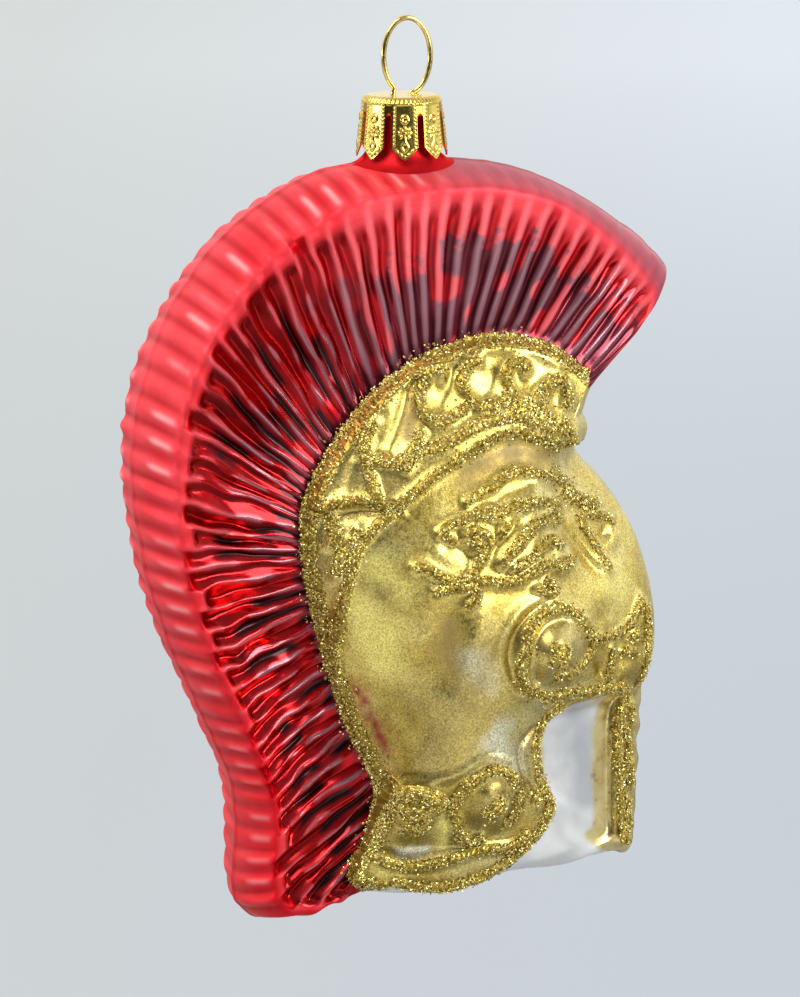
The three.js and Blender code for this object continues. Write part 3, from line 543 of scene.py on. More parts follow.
def around_line(x, z, points, margin):
    low, high = points.min(0) - margin, points.max(0) + margin
    return (x > low[0]) & (x < high[0]) & (z > low[1]) & (z < high[1])


def ridges(x, z):
    """Raised relief under the glitter lines"""
    total = np.zeros(x.shape)
    every = ((name, *stroke) for name, several in paths.items() for stroke in several)
    for name, width, points in every:
        near = around_line(x, z, points, 4)
        if not near.any():
            continue
        far = distance_to_line(x[near], z[near], points[::2] if len(points) > 4 else points)
        height = ridge_heights.get(name, 0.75)
        swell = height * np.exp(-(far / (width * 0.55)) ** 2)
        total[near] = np.maximum(total[near], swell)
    return total


def extra_relief(x, z):
    """Smooth relief without glitter"""
    total = np.zeros(x.shape)
    for height, reach, points in strokes:
        points = resampled(in_place(points), 0.8)
        near = around_line(x, z, points, 6)
        if near.any():
            far = distance_to_line(x[near], z[near], points)
            total[near] += height * np.exp(-(far / reach) ** 2)
    for lump_x, lump_down, radius, height in lumps:
        far = np.hypot(x - along_x(lump_x), z - down_z(lump_down)) / radius
        total += height * np.exp(-(far ** 2) * 1.6)
    return total


diadem = in_place(diadem_line)


def big_relief(x, z):
    """The step of the diadem and the domes"""
    far = distance_to_line(x, z, diadem)
    level = np.interp(x, diadem[:, 0], diadem[:, 1])
    total = 1.2 * smooth(np.where(z > level, far, -far) / 1.0 + 0.3)
    for dome_x, dome_down, radius, height in domes:
        reach = np.hypot(x - along_x(dome_x), z - down_z(dome_down)) / (radius * glass_length)
        total = total + height * smooth(1.4 * (1 - reach))
    return total


def side_height(z):
    """How far the middle of the helmet's side stands out at a level"""
    down = (crown_top - z) / glass_height
    table = np.array(side_heights)
    fine = np.linspace(0, 1.1, 221)
    value = np.interp(fine, table[:, 0], table[:, 1])
    value = np.convolve(np.pad(value, 24, "edge"), bell(24, 8), "valid")
    return np.interp(down, fine, value) * half_thickness


# The helmet's side: rings from the border line to its middle, on every second crest column
bulge_columns = np.concatenate([np.arange(0, crest_columns, 2),
                                np.arange(crest_columns, column_count)])
bulge_count = 64
bulge_shares = (np.linspace(0, 1, bulge_count + 1) ** 1.08)[1:]
middle_x, middle_z = along_x(middle_share[0]), down_z(middle_share[1])
line_x, line_z = lines[bulge_columns, 0][:, None], lines[bulge_columns, 1][:, None]
bulge_x = mix(line_x, middle_x, bulge_shares)
bulge_z = mix(line_z, middle_z, bulge_shares)


def bulge_height(share, root, z):
    return mix(root, side_height(z), 1 - (1 - share) ** 2.6)


# The same height on a square grid, blurred, so that corners of the border leave no creases
field_step = 0.4
field_x, field_z = np.arange(-48, 48, field_step), np.arange(-134, -34, field_step)
grid_x, grid_z = np.meshgrid(field_x, field_z, indexing="ij")
around = np.arctan2(lines[:, 1] - middle_z, lines[:, 0] - middle_x)
out_reach = np.hypot(lines[:, 1] - middle_z, lines[:, 0] - middle_x)
grid_angle = np.arctan2(grid_z - middle_z, grid_x - middle_x)
grid_reach = np.interp(grid_angle, around, out_reach, period=2 * np.pi)
grid_root = np.interp(grid_angle, around, roots, period=2 * np.pi)
grid_share = np.clip(1 - np.hypot(grid_z - middle_z, grid_x - middle_x) / grid_reach, 0, 1)
field_sigma = 2.6 / field_step
field_kernel = bell(int(3 * field_sigma) + 1, field_sigma)
field = convolved(bulge_height(grid_share, grid_root, grid_z), field_kernel, 0)
field = convolved(field, field_kernel, 1)


def sampled(x, z):
    """The blurred height between the places of the square grid"""
    across = np.clip((x - field_x[0]) / field_step, 0, len(field_x) - 1.001)
    up = np.clip((z - field_z[0]) / field_step, 0, len(field_z) - 1.001)
    i, j = across.astype(int), up.astype(int)
    a, b = across - i, up - j
    return (field[i, j] * (1 - a) * (1 - b) + field[i + 1, j] * a * (1 - b)
            + field[i, j + 1] * (1 - a) * b + field[i + 1, j + 1] * a * b)


column_reach = out_reach[bulge_columns][:, None]
exact = bulge_height(bulge_shares, roots[bulge_columns][:, None], bulge_z)
inward = bulge_shares * column_reach
bulge_h = mix(exact, sampled(bulge_x, bulge_z), smooth(inward / 5.0))

# Ahead of the face the helmet's front and side are one smooth dome: round off the line there
front_part = (positions > dome_start) & (positions < tip_start)
dome_reach = 30
for column in np.where(front_part)[0]:
    ring = column - crest_columns + crest_columns // 2
    x = np.concatenate([mix(seams[column, 0], lines[column, 0], ways[column]), bulge_x[ring]])
    z = np.concatenate([mix(seams[column, 1], lines[column, 1], ways[column]), bulge_z[ring]])
    h = np.concatenate([heights[column], bulge_h[ring]])
    run = np.concatenate([[0], np.cumsum(np.maximum(np.hypot(np.diff(x), np.diff(z)), 1e-5))])
    even = np.arange(0, min(run[-1], run[row_count - 1] + 16), 0.2)
    level = np.interp(even, run, h)
    before = 2 * level[0] - level[dome_reach:0:-1]
    after = 2 * level[-1] - level[-2:-dome_reach - 2:-1]
    soft = np.convolve(np.concatenate([before, level, after]), bell(dome_reach, 11), "valid")
    by_line = np.exp(-(((even - run[row_count - 1]) / 4.5) ** 2))
    ease = smooth((positions[column] - dome_start) / 0.8)
    ease = ease * smooth((tip_start - positions[column]) / 1.5)
    level = mix(level, soft, by_line * ease)
    rounded = np.where(run <= even[-1], np.interp(run, even, level), h)
    heights[column] = rounded[:row_count]
    bulge_h[ring] = rounded[row_count:]
    roots[column] = rounded[row_count - 1]
height_grid = heights[:, row_index]
shell[..., 1] = height_grid * side

front_kind = smooth((positions - 39.0) / 0.8) * smooth((tip_start - positions) / 1.0)
ring_kind = front_kind[bulge_columns][:, None]
settle = np.maximum(smooth(inward / 1.5), ring_kind)
bulge_h = bulge_h + (big_relief(bulge_x, bulge_z) + extra_relief(bulge_x, bulge_z)) * settle
bulge_h = bulge_h + ridges(bulge_x, bulge_z)
uneven = np.stack([bulge_x, bulge_z], -1)
unevenness = 0.12 * noise(uneven, 9, 3) + 0.035 * noise(uneven, 3.1, 4)
bulge_h = bulge_h + unevenness * smooth(inward / 3)

# Where the shell has ribs
shell_normals = outward_normals(shell)
rib_zone = np.ones(column_count)
rib_zone[crest_columns:] = 0
rib_zone[crest_columns:] += 1 - smooth((front_positions - crest_last) / 0.55)
rib_zone[crest_columns:] += smooth((front_positions - tip_start + 0.2) / 0.9)
rib_zone = np.clip(rib_zone, 0, 1)[:, None]

# Ribs: ridges that run over the shoulder, with rounded ends of grooves between them
crest_place = np.where(positions >= tip_start, positions - section_count, positions)
rib_gain = np.interp(crest_place, [-1, -0.3, 0.8, 24.6, 25.5], [0.0, 0.1, 1, 1, 0.5])[:, None]
rib_depth = np.interp(
    crest_place, [0, 2, 3.5, 6, 7.5, 9.5, 25], [0.75, 0.6, 0.45, 0.5, 0.85, 1.05, 1.05])[:, None]
rib_sharp = np.interp(crest_place, [0, 2, 4, 6.5, 9, 25], [1.2, 1.0, 0.8, 0.9, 1.7, 1.9])[:, None]
column_turn = phase[:, None] + np.zeros(len(rows_signed))
way_signed = way_grid * side
rim_way = way_grid[:, shoulder_row + row_count - 1][:, None]
beyond = (way_grid - rim_way) / (1 - rim_way)
drift = noise_at(11, column_turn * 0.5, way_signed * 2.0 + 5)
fine_drift = noise_at(12, column_turn * 1.3, way_signed * 6 + 9)
turn = column_turn + 0.16 * noise((column_turn[:, :1] * 0.37), 1, 10)[:, None]
worn_side = smooth((crest_place - 6.0) / 3.0)[:, None]
wandering = mix(0.20, 0.29, worn_side) * drift + mix(0.06, 0.17, worn_side) * fine_drift
turn = turn + wandering * smooth(beyond / 0.25)
rib_wave = 0.5 + 0.5 * np.cos(2 * np.pi * turn)
from_ridge = np.sqrt(4 * (turn - np.round(turn)) ** 2 + 0.02)
sharp_share = smooth((rib_sharp - 0.9) / 0.6)
ridge = mix(rib_wave ** np.minimum(rib_sharp, 1.2),
            np.clip(1.06 - from_ridge, 0, 1) ** 1.15, sharp_share)
groove_id = np.floor(turn)
rib_id = np.floor(turn + 0.5)
blank = 0 * turn


def per_rib(which, stretch, seed):
    return noise_at(seed, which * stretch, side * 3.0 + blank)


strength = 1 + 0.45 * noise_at(13, groove_id * 1.7, side * 3.0 + way_signed * 3.4)
start = 0.03 + 0.08 * per_rib(groove_id, 2.3, 14)
fade = 1 - 0.84 * smooth((beyond - 0.45) / 0.55)
depth_here = smooth((beyond - start) / mix(0.20, 0.075, worn_side)) * fade * rib_depth * strength
groove = (1 - ridge)
side_move = -1.05 * depth_here * groove
# Finer creases along the ribs, and some ribs that part into two
crease = noise_at(19, turn * 3.1, way_signed * 7.0)
crease_zone = smooth((beyond - 0.06) / 0.1) * smooth((rib_sharp - 0.8) / 0.6)
side_move = side_move - 0.22 * np.maximum(crease, 0) * crease_zone * (0.5 + 0.5 * ridge)
split = smooth((per_rib(rib_id, 3.1, 15) - 0.15) / 0.25)
split_cut = 0.34 * split * smooth((beyond - 0.22) / 0.2)
side_move = side_move - split_cut * fade * rib_depth * rib_wave ** 10
on_side = smooth((beyond + 0.10) / 0.20)
band = 1 - on_side
neck_far = np.hypot(shell[..., 0] - axis_x, shell[..., 1])
near_neck = np.where(shell[..., 2] > crown_top - 12, smooth((neck_far - 7.0) / 4.0), 1)
band_strength = 1 + 0.6 * per_rib(rib_id, 1.3, 16)
height_share = np.clip(height_grid / np.maximum(heights[:, shoulder_row][:, None], 1e-6), 0, 1)
pillow = 0.50 * (rib_wave ** 1.3 - 0.5) * band_strength
pillow = pillow * (0.25 + 0.75 * smooth(height_share / 0.5))
pillow = pillow * np.interp(crest_place, [0, 2, 6.5, 8.5, 25], [0.5, 0.25, 0.35, 1, 1])[:, None]
ripple = 0.13 * noise_at(17, column_turn * 0.9, height_share * side * 2.0)
seam_ridge = 0.20 * np.exp(-((height_grid / 0.30) ** 2))
band_move = (pillow + ripple) * near_neck + seam_ridge
crest_move = (side_move * rib_gain + band * band_move * (0.3 + 0.7 * rib_gain)) * rib_zone

front_relief = ridges(shell[..., 0], shell[..., 2]) * smooth((height_grid - 0.5) / 2.5)
dome_relief = big_relief(shell[..., 0], shell[..., 2]) * front_kind[:, None]
front_relief = front_relief + (extra_relief(shell[..., 0], shell[..., 2]) + dome_relief) * smooth(
    (height_grid - 1) / 4)
front_relief = front_relief + 0.05 * noise(shell, 5.0, 5)
front_relief = front_relief + 0.12 * np.exp(-((height_grid / 0.3) ** 2))
on_guard = (smooth((positions - 30.8) / 1.0) * smooth((40.2 - positions) / 1.0))[:, None]
on_guard = on_guard * smooth((shoulder_row + 1 - row_index) / 5.0)
guard_lumps = 0.34 * noise(shell, 2.6, 33) + 0.16 * noise(shell, 1.2, 34) - 0.1
front_relief = front_relief + on_guard * guard_lumps
shell_move = crest_move + front_relief * (1 - rib_zone)
at_line = smooth((row_count - 1 - row_index) / 2.0)
line_relief = ridges(shell[..., 0], shell[..., 2]) + front_kind[:, None] * (
    extra_relief(shell[..., 0], shell[..., 2]) + dome_relief)
shell_move = shell_move * at_line + line_relief * (1 - at_line)
move_way = shell_normals.copy()
move_way[:, [0, -1]] = np.array([0, 1, 0]) * np.array([-1, 1])[None, :, None]
shell = shell + move_way * shell_move[..., None]
# The seam wanders a little to either side
near_seam = np.exp(-((height_grid / 1.6) ** 2))
wander = 0.42 * noise((phase * 0.8)[:, None], 1, 18) + 0.14 * noise((phase * 2.3)[:, None], 1, 26)
wander = wander[:, None]
wander = wander * rib_zone
shell[..., 1] += wander * near_seam

bulge = np.stack([bulge_x, -bulge_h, bulge_z], -1)
shell_normals = outward_normals(shell)


def link_object(name, data):
    obj = bpy.data.objects.new(name, data)
    bpy.context.scene.collection.objects.link(obj)
    return obj


def add_piece(name, mesh, material, replaced):
    """A visible piece that rides on the body and stands for a CAD node"""
    obj = link_object(name, mesh)
    mesh.materials.append(material)
    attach(obj, "root")
    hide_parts(replaced)


def mesh_from(name, vertices, faces, smooth_shaded=True):
    """A mesh from points in millimetres and an array of faces with equal numbers of corners"""
    faces = np.asarray(faces)
    mesh = bpy.data.meshes.new(name)
    mesh.vertices.add(len(vertices))
    mesh.vertices.foreach_set("co", (np.asarray(vertices) * MM).astype(np.float32).ravel())
    mesh.loops.add(faces.size)
    mesh.loops.foreach_set("vertex_index", faces.astype(np.int32).ravel())
    mesh.polygons.add(len(faces))
    mesh.polygons.foreach_set("loop_start", np.arange(len(faces), dtype=np.int32) * faces.shape[1])
    mesh.polygons.foreach_set("loop_total", np.full(len(faces), faces.shape[1], dtype=np.int32))
    mesh.update(calc_edges=True)
    mesh.validate()
    mesh.polygons.foreach_set("use_smooth", np.full(len(mesh.polygons), smooth_shaded))
    return mesh


def add_attributes(mesh, attributes):
    for name, values in attributes.items():
        layer = mesh.attributes.new(name, "FLOAT", "POINT")
        values = np.zeros(len(mesh.vertices)) + values
        layer.data.foreach_set("value", values.astype(np.float32))


def grid_faces(columns, rows, keep=None, closed=False):
    """Quads of a grid of columns and rows; keep picks some of them"""
    wide = columns if closed else columns - 1
    c, r = np.meshgrid(np.arange(wide), np.arange(rows - 1), indexing="ij")
    a = c * rows + r
    b = ((c + 1) % columns) * rows + r
    quads = np.stack([a, b, b + 1, a + 1], -1)
    return quads[keep] if keep is not None else quads.reshape(-1, 4)


def compact(vertices, faces, *extras):
    """Leave out the points that no face uses"""
    used = np.unique(faces)
    renumber = np.full(len(vertices), -1)
    renumber[used] = np.arange(len(used))
    return (vertices[used], renumber[faces], *[extra[used] for extra in extras])


def facing_out(vertices, faces, normals):
    """Turn the faces so that they agree with the normals of their points"""
    corners = vertices[faces[:, :3]]
    made = np.cross(corners[:, 1] - corners[:, 0], corners[:, 2] - corners[:, 0])
    if (made * normals[faces[:, 0]]).sum() < 0:
        faces = faces[:, ::-1]
    return faces


# Which quads of the shell belong to which paint
quad_rows = len(rows_signed) - 1
column_place = positions[:, None] + np.zeros(quad_rows)
quad_row = np.minimum(row_index[:-1], row_index[1:])[None, :] + np.zeros((column_count, 1))
is_crest = (column_place < foot_end) | (column_place >= tip_start)
in_face = (column_place >= chin_end) & (column_place < guard_end) & (quad_row >= shoulder_row)
in_face &= quad_row < cheek_row
in_chin = (column_place >= foot_end) & (column_place < chin_end) & (quad_row < cheek_row)
is_face = in_face | in_chin
is_front = ~is_crest & ~is_face

shell_flat = shell.reshape(-1, 3)
normals_flat = shell_normals.reshape(-1, 3)
# Paint of the crest: grooves with broken edges, painted dark reflections in some of them, and
# painted shade in the valleys across the band
broken = noise_at(20, turn * 2.3, way_signed * 9.0 + 20)
paint_edge = mix(0.26, 0.08, worn_side)
groove_paint = smooth((groove + 0.6 * np.clip(broken, 0, 1) * worn_side - paint_edge) / 0.34)
groove_paint = groove_paint * smooth((beyond - start + 0.02) / mix(0.17, 0.05, worn_side))
# Painted dark reflections: black streaks along some grooves
dark_reflection_run = noise_at(28, groove_id * 1.9 + side * 7, way_signed * 4.2 + 31)
painted_dark_reflection = smooth((dark_reflection_run + 0.10 + 0.25 * beyond) / 0.35) * smooth((groove - 0.42) / 0.3)
painted_dark_reflection = painted_dark_reflection * smooth((beyond - 0.16) / 0.2) * (0.45 + 0.55 * worn_side)
# Painted shade in the valleys between the band's pillows
painted_valley_shade = (1 - rib_wave) ** 2.2 * band * near_neck * rib_gain
# Painted highlight: light streaks across the pillows of the band, near the shoulder
glint_row = smooth((height_share - 0.35) / 0.25) * smooth((0.98 - height_share) / 0.12)
glint_rib = smooth((per_rib(rib_id, 2.9, 36) + 0.45) / 0.5)
glint_rib = glint_rib * smooth((crest_place - 4.0) / 2.0)[:, None]
painted_glint = rib_wave ** 5 * glint_row * glint_rib * band * rib_gain
# Patches of fresh lacquer, drawn out along the ribs, where the rest is thin
fresh = noise_at(39, turn * 1.2 + 50, way_signed * 6.0)
# The crown ahead of the cap is dull and dusky
dusk = (1 - smooth((crest_place - 4.8) / 1.9))[:, None] * band
crest_paint = {
    "depth": beyond, "groove": groove_paint, "painted_dark_reflection": painted_dark_reflection, "painted_valley_shade": painted_valley_shade, "painted_glint": painted_glint,
    # The ridge mask is a painted highlight along the crown of each ridge
    "worn": worn_side + blank, "dusk": dusk * rib_zone, "ridge": ridge ** 3 * on_side * rib_gain,
    "fresh": smooth((fresh - 0.34) / 0.22) * on_side,
}
# Gold that was sprayed a little way onto the white: beside the nose guard and along the hem
blown = 0.6 * noise(shell, 2.6, 31) + 0.25 * noise(shell, 0.9, 32)
beside_guard = smooth((31.5 + 2.4 * blown - row_index) / 3.0)
beside_guard = beside_guard * smooth((positions - 31.6) / 0.5)[:, None]
at_border = smooth((row_index - cheek_row + 3.0 + 2.0 * blown) / 3.0)
gilt = np.maximum(beside_guard, at_border)


def near_line(x, z, points, reach, seed):
    """A patchy mask, 1 on a line and 0 away from it"""
    far = distance_to_line(x, z, in_place(points))
    patchy = noise(np.stack([x, z], -1), max(reach * 0.8, 0.8), seed)
    return np.clip(1.1 - far / reach + 0.4 * patchy, 0, 1) * (far < reach * 2)


def red_mist(x, z):
    """Where red lacquer strayed over the crest line onto the gold"""
    streak = via(-143, 674, -126, 699, -106, 728, -88, 756)
    flecks = 0.62 + 0.5 * noise(np.stack([x * 2.2, z], -1), 1.1, 37)
    along_hem = 0.75 * near_line(x, z, streak, 0.8, 21) + 0.40 * near_line(x, z, streak, 2.4, 27)
    along_hem = along_hem * flecks
    in_fold = near_line(x, z, via(-212, 500, -212, 535, -200, 572), 0.7, 22)
    return np.clip(np.maximum(along_hem, 0.9 * in_fold), 0, 0.9)


def patches(x, z, table):
    """The strongest of several patchy masks"""
    masks = [strength * near_line(x, z, points, reach, seed)
             for strength, reach, seed, points in table]
    return np.clip(np.maximum.reduce(masks), 0, 0.95)


# Strength, reach, seed and points of patches of the gold that are silvery, and of painted
# highlights
silver_patches = [
    (0.8, 3.0, 51, via(101, 744, 129, 770, 136, 788)),
    (0.6, 2.6, 52, via(43, 638, 63, 666)),
    (0.9, 1.1, 53, via(-63, 898, -19, 897)),
]
painted_highlight_patches = [
    (0.90, 4.5, 54, via(-150, 500, -112, 512, -80, 532)),
    (0.85, 3.8, 60, via(-152, 560, -120, 590, -108, 640)),
    (0.90, 4.2, 55, via(320, 561, 373, 588)),
    (0.80, 1.8, 56, via(6, 848, 17, 885)),
    (0.80, 1.6, 57, via(-103, 920, -63, 932)),
]
# Painted shade on the white face: greyer places, a painted reflection of the dark room
painted_shade_patches = [(0.62, 3.2, 59, via(284, 722, 314, 780, 324, 860))]


def brown_stain_and_shade(x, z):
    """Where the gold is painted dull brown: painted shade in the hollow of the cheek, beside a
    wave and under the diadem's overhanging edge, and a faint brown stain on the side
    """
    hollow = near_line(x, z, via(-4, 588, -2, 616, 6, 642), 2.6, 23)
    under = near_line(x, z, via(45, 392, 75, 382, 120, 373, 165, 373, 215, 384), 2.6, 24)
    beside_wave = near_line(x, z, via(-52, 348, -36, 318, -22, 296), 1.3, 38)
    side = near_line(x, z, via(80, 600, 62, 640, 50, 700), 3.0, 25)
    stains_and_shade = [0.85 * hollow, 0.95 * under, 0.35 * side, 0.8 * beside_wave]
    return np.clip(np.maximum.reduce(stains_and_shade), 0, 0.9)


class Nodes:
    """Short calls for building the node tree of a material or of the world"""

    def __init__(self, owner):
        owner.use_nodes = True
        self.owner = owner
        self.tree = owner.node_tree

    def node(self, kind, inputs=(), **settings):
        made = self.tree.nodes.new("ShaderNode" + kind)
        for key, value in settings.items():
            setattr(made, key, value)
        for key, value in dict(inputs).items():
            self.put(made.inputs[key], value)
        return made

    def put(self, socket, value):
        if isinstance(value, bpy.types.NodeSocket):
            self.tree.links.new(value, socket)
        elif isinstance(value, (tuple, list)) and len(value) == 3 and socket.type == "RGBA":
            socket.default_value = (*value, 1)
        else:
            socket.default_value = value

    def place(self):
        return self.node("TexCoord").outputs["Object"]

    def noise(self, scale, detail=3, rough=0.5, vector=None, distortion=0):
        made = self.node("TexNoise", {"Scale": scale, "Detail": detail, "Roughness": rough,
                                      "Distortion": distortion, "Vector": vector or self.place()})
        return made.outputs["Fac"]

    def ramp(self, value, *stops):
        made = self.node("ValToRGB", {"Fac": value})
        elements = made.color_ramp.elements
        while len(elements) < len(stops):
            elements.new(0.5)
        for element, (at, colour) in zip(elements, stops):
            element.position = at
            element.color = (*colour, 1) if isinstance(colour, tuple) else (colour,) * 3 + (1,)
        return made.outputs["Color"]

    def math(self, operation, a, b=0.0, clamp=False, third=0.5):
        inputs = {0: a, 1: b, 2: third}
        return self.node("Math", inputs, operation=operation, use_clamp=clamp).outputs[0]

    def times(self, a, b):
        return self.math("MULTIPLY", a, b)

    def portion(self, a, b):
        return self.math("MULTIPLY", a, b, True)

    def less(self, a, b):
        return self.math("SUBTRACT", a, b)

    def blend(self, factor, a, b, kind="MIX"):
        inputs = {0: factor, 6: a, 7: b}
        return self.node("Mix", inputs, data_type="RGBA", blend_type=kind).outputs[2]

    def along(self, direction, place=None):
        """How far places lie along a direction"""
        inputs = {0: place or self.place(), 1: direction}
        return self.node("VectorMath", inputs, operation="DOT_PRODUCT").outputs["Value"]

    def attribute(self, name):
        return self.node("Attribute", attribute_name=name).outputs["Fac"]

    def bump(self, height, distance, strength=1.0, normal=None):
        made = self.node("Bump", {"Height": height, "Distance": distance, "Strength": strength})
        if normal is not None:
            self.put(made.inputs["Normal"], normal)
        return made.outputs["Normal"]

    def finish(self, **inputs):
        """Set the Principled shader's inputs, with _ for each space in their names"""
        shader = next(n for n in self.tree.nodes if n.type == "BSDF_PRINCIPLED")
        for key, value in inputs.items():
            self.put(shader.inputs[key.replace("_", " ")], value)
        return self.owner


def new_material(name):
    return Nodes(bpy.data.materials.new(name))


def crest_material():
    n = new_material("red_lacquer")
    depth = n.attribute("depth")
    groove_mask = n.attribute("groove")
    worn = n.attribute("worn")
    up = n.node("SeparateXYZ", {0: n.place()}).outputs["Z"]
    low = n.portion(n.math("ADD", up, 0.070), -32.0)
    cloud = n.noise(90, 4, 0.6)
    rim = n.ramp(cloud, (0.3, (0.86, 0.030, 0.044)), (0.75, (1.0, 0.090, 0.108)))
    rim = n.blend(n.portion(low, 0.9), rim, (0.76, 0.007, 0.016))
    # Painted shade in the band's valleys
    rim = n.blend(n.portion(n.attribute("painted_valley_shade"), 0.85), rim, (0.50, 0.006, 0.012))
    # Painted highlight: pale glints on the band's pillows, fainter low down
    painted_glint = n.portion(n.attribute("painted_glint"), n.less(0.85, n.times(low, 0.45)))
    rim = n.blend(painted_glint, rim, (1.0, 0.42, 0.42))
    rim = n.blend(n.portion(n.attribute("dusk"), 0.95), rim, (0.36, 0.085, 0.115))
    bright = n.ramp(cloud, (0.3, (0.96, 0.040, 0.055)), (0.75, (1.0, 0.110, 0.130)))
    dull = n.ramp(cloud, (0.3, (0.66, 0.015, 0.024)), (0.75, (0.90, 0.055, 0.070)))
    flank = n.blend(worn, bright, dull)
    # Painted highlight along the crowns of the ridges
    crown = n.attribute("ridge")
    flank = n.blend(n.portion(crown, n.less(0.60, n.times(worn, 0.35))),
                    flank, (1.0, 0.24, 0.26))
    coral = n.blend(n.ramp(depth, (0.0, 0.0), (0.06, 1.0)), rim, flank)
    patch = n.noise(75, 3, 0.5, distortion=0.5)
    # Towards the helmet the lacquer is thin: the ridges turn grey and mauve
    spots = n.times(n.less(n.noise(330, 3, 0.6), 0.5), 0.8)
    shifted = n.math("ADD", n.math("ADD", depth, n.times(patch, 0.75)), spots)
    inner = n.blend(worn, n.ramp(shifted, (0.70, 0.0), (0.82, 0.92)),
                    n.ramp(shifted, (0.48, 0.0), (1.0, 0.95)))
    renewed = n.times(n.attribute("fresh"), n.less(0.9, n.times(worn, 0.6)))
    inner = n.portion(inner, n.less(1.0, renewed))
    mauve = n.blend(worn, (0.17, 0.055, 0.078), (0.15, 0.036, 0.050))
    # Painted highlight on the crowns of the greyer ridges
    mauve = n.blend(n.portion(crown, 0.75), mauve, (0.34, 0.22, 0.26))
    ridge = n.blend(inner, coral, mauve)
    deep = n.ramp(n.noise(260, 3, 0.6), (0.35, (0.30, 0.001, 0.003)), (0.70, (0.52, 0.002, 0.006)))
    deep = n.blend(worn, n.blend(inner, (0.60, 0.008, 0.014), (0.15, 0.018, 0.032)), deep)
    colour = n.blend(groove_mask, ridge, deep)
    # Painted dark reflections in some grooves
    colour = n.blend(n.portion(n.attribute("painted_dark_reflection"), 0.95), colour, (0.010, 0.004, 0.006))
    colour = n.blend(n.ramp(depth, (0.88, 0.0), (0.98, 0.85)), colour, (0.09, 0.012, 0.022))
    metal = n.ramp(n.math("MAXIMUM", groove_mask, n.times(inner, 0.5)), (0.0, 0.40), (1.0, 0.92))
    rough = n.ramp(n.noise(160, 3, 0.6), (0.3, 0.18), (0.75, 0.30))
    bump = n.bump(n.noise(420, 3, 0.6), 0.00004, 0.5)
    # The shoulder itself is matt
    edge = n.ramp(n.math("ADD", depth, 0.5), (0.28, 0.0), (0.42, 1.0), (0.55, 1.0), (0.61, 0.0))
    rough = n.math("ADD", rough, n.times(edge, 0.25))
    coat = n.less(0.28, n.times(edge, 0.27))
    return n.finish(Base_Color=colour, Metallic=metal, Roughness=rough, Normal=bump,
                    Coat_Weight=coat, Coat_Roughness=0.14, Coat_IOR=1.5,
                    Specular_Tint=(1.0, 0.14, 0.17))


def gold_material():
    n = new_material("gold_lacquer")
    cloud = n.noise(150, 5, 0.65)
    fine = n.noise(1300, 3, 0.65)
    base = n.ramp(cloud, (0.30, (0.48, 0.34, 0.065)), (0.50, (0.74, 0.57, 0.135)),
                  (0.72, (0.98, 0.84, 0.31)))
    up = n.node("SeparateXYZ", {0: n.place()}).outputs["Z"]
    # The gold is darker low down
    low = n.portion(n.math("ADD", up, 0.083), -30.0)
    base = n.blend(low, base, (0.70, 0.67, 0.58), "MULTIPLY")
    blotch = n.noise(45, 3, 0.55, distortion=0.4)
    silver = n.blend(n.ramp(blotch, (0.48, 0.0), (0.72, 0.5)), base, (0.88, 0.80, 0.42))
    tarnish = n.noise(42, 4, 0.6, distortion=0.8)
    dull = n.blend(n.ramp(tarnish, (0.54, 0.0), (0.70, 0.45)), silver, (0.40, 0.27, 0.085))
    speck = n.blend(n.ramp(fine, (0.30, 0.35), (0.48, 0.0)), dull, (0.36, 0.25, 0.06))
    speck = n.blend(n.attribute("silver"), speck, (0.84, 0.82, 0.60))
    # Painted highlights: patches of brighter yellow
    speck = n.blend(n.attribute("bright"), speck, (1.0, 0.85, 0.23))
    grit = n.ramp(n.noise(3900, 2, 0.65), (0.34, 0.55), (0.66, 1.25))
    colour = n.blend(1.0, speck, grit, "MULTIPLY")
    # Painted shade in the hollows and under the diadem, with a little brown stain
    colour = n.blend(n.attribute("stain_and_shade"), colour, (0.30, 0.205, 0.055))
    colour = n.blend(n.attribute("mist"), colour, (0.36, 0.035, 0.045))
    rough = n.ramp(fine, (0.3, 0.30), (0.75, 0.46))
    bump = n.bump(fine, 0.00006, 0.6, n.bump(cloud, 0.0002, 0.45))
    # The painted highlights are less metallic
    metal = n.less(1.0, n.times(n.attribute("bright"), 0.5))
    metal = n.math("SUBTRACT", metal, n.times(n.attribute("stain_and_shade"), 0.6), True)
    rough = n.math("ADD", rough, n.times(n.attribute("stain_and_shade"), 0.2))
    return n.finish(Base_Color=colour, Metallic=metal, Roughness=rough, Normal=bump,
                    Coat_Weight=0.15, Coat_Roughness=0.2)


def face_material():
    n = new_material("white_lustre")
    cloud = n.noise(110, 4, 0.6)
    white_paint = n.ramp(cloud, (0.3, (0.72, 0.73, 0.73)), (0.7, (0.86, 0.86, 0.84)))
    gilt = n.attribute("gilt")
    # Painted shade: greyer places on the white
    white_paint = n.blend(n.attribute("shade"), white_paint, (0.42, 0.45, 0.48))
    spots = n.ramp(n.noise(420, 3, 0.6), (0.28, (0.36, 0.20, 0.12)), (0.44, (0.80, 0.64, 0.24)),
                   (0.75, (0.94, 0.84, 0.46)))
    rough = n.ramp(n.noise(500, 2), (0.3, 0.28), (0.7, 0.40))
    return n.finish(Base_Color=n.blend(gilt, white_paint, spots),
                    Metallic=n.ramp(gilt, (0.0, 0.62), (1.0, 0.95)),
                    Roughness=rough, Coat_Weight=0.3, Coat_Roughness=0.15,
                    Normal=n.bump(n.noise(700, 3), 0.00004, 0.5))


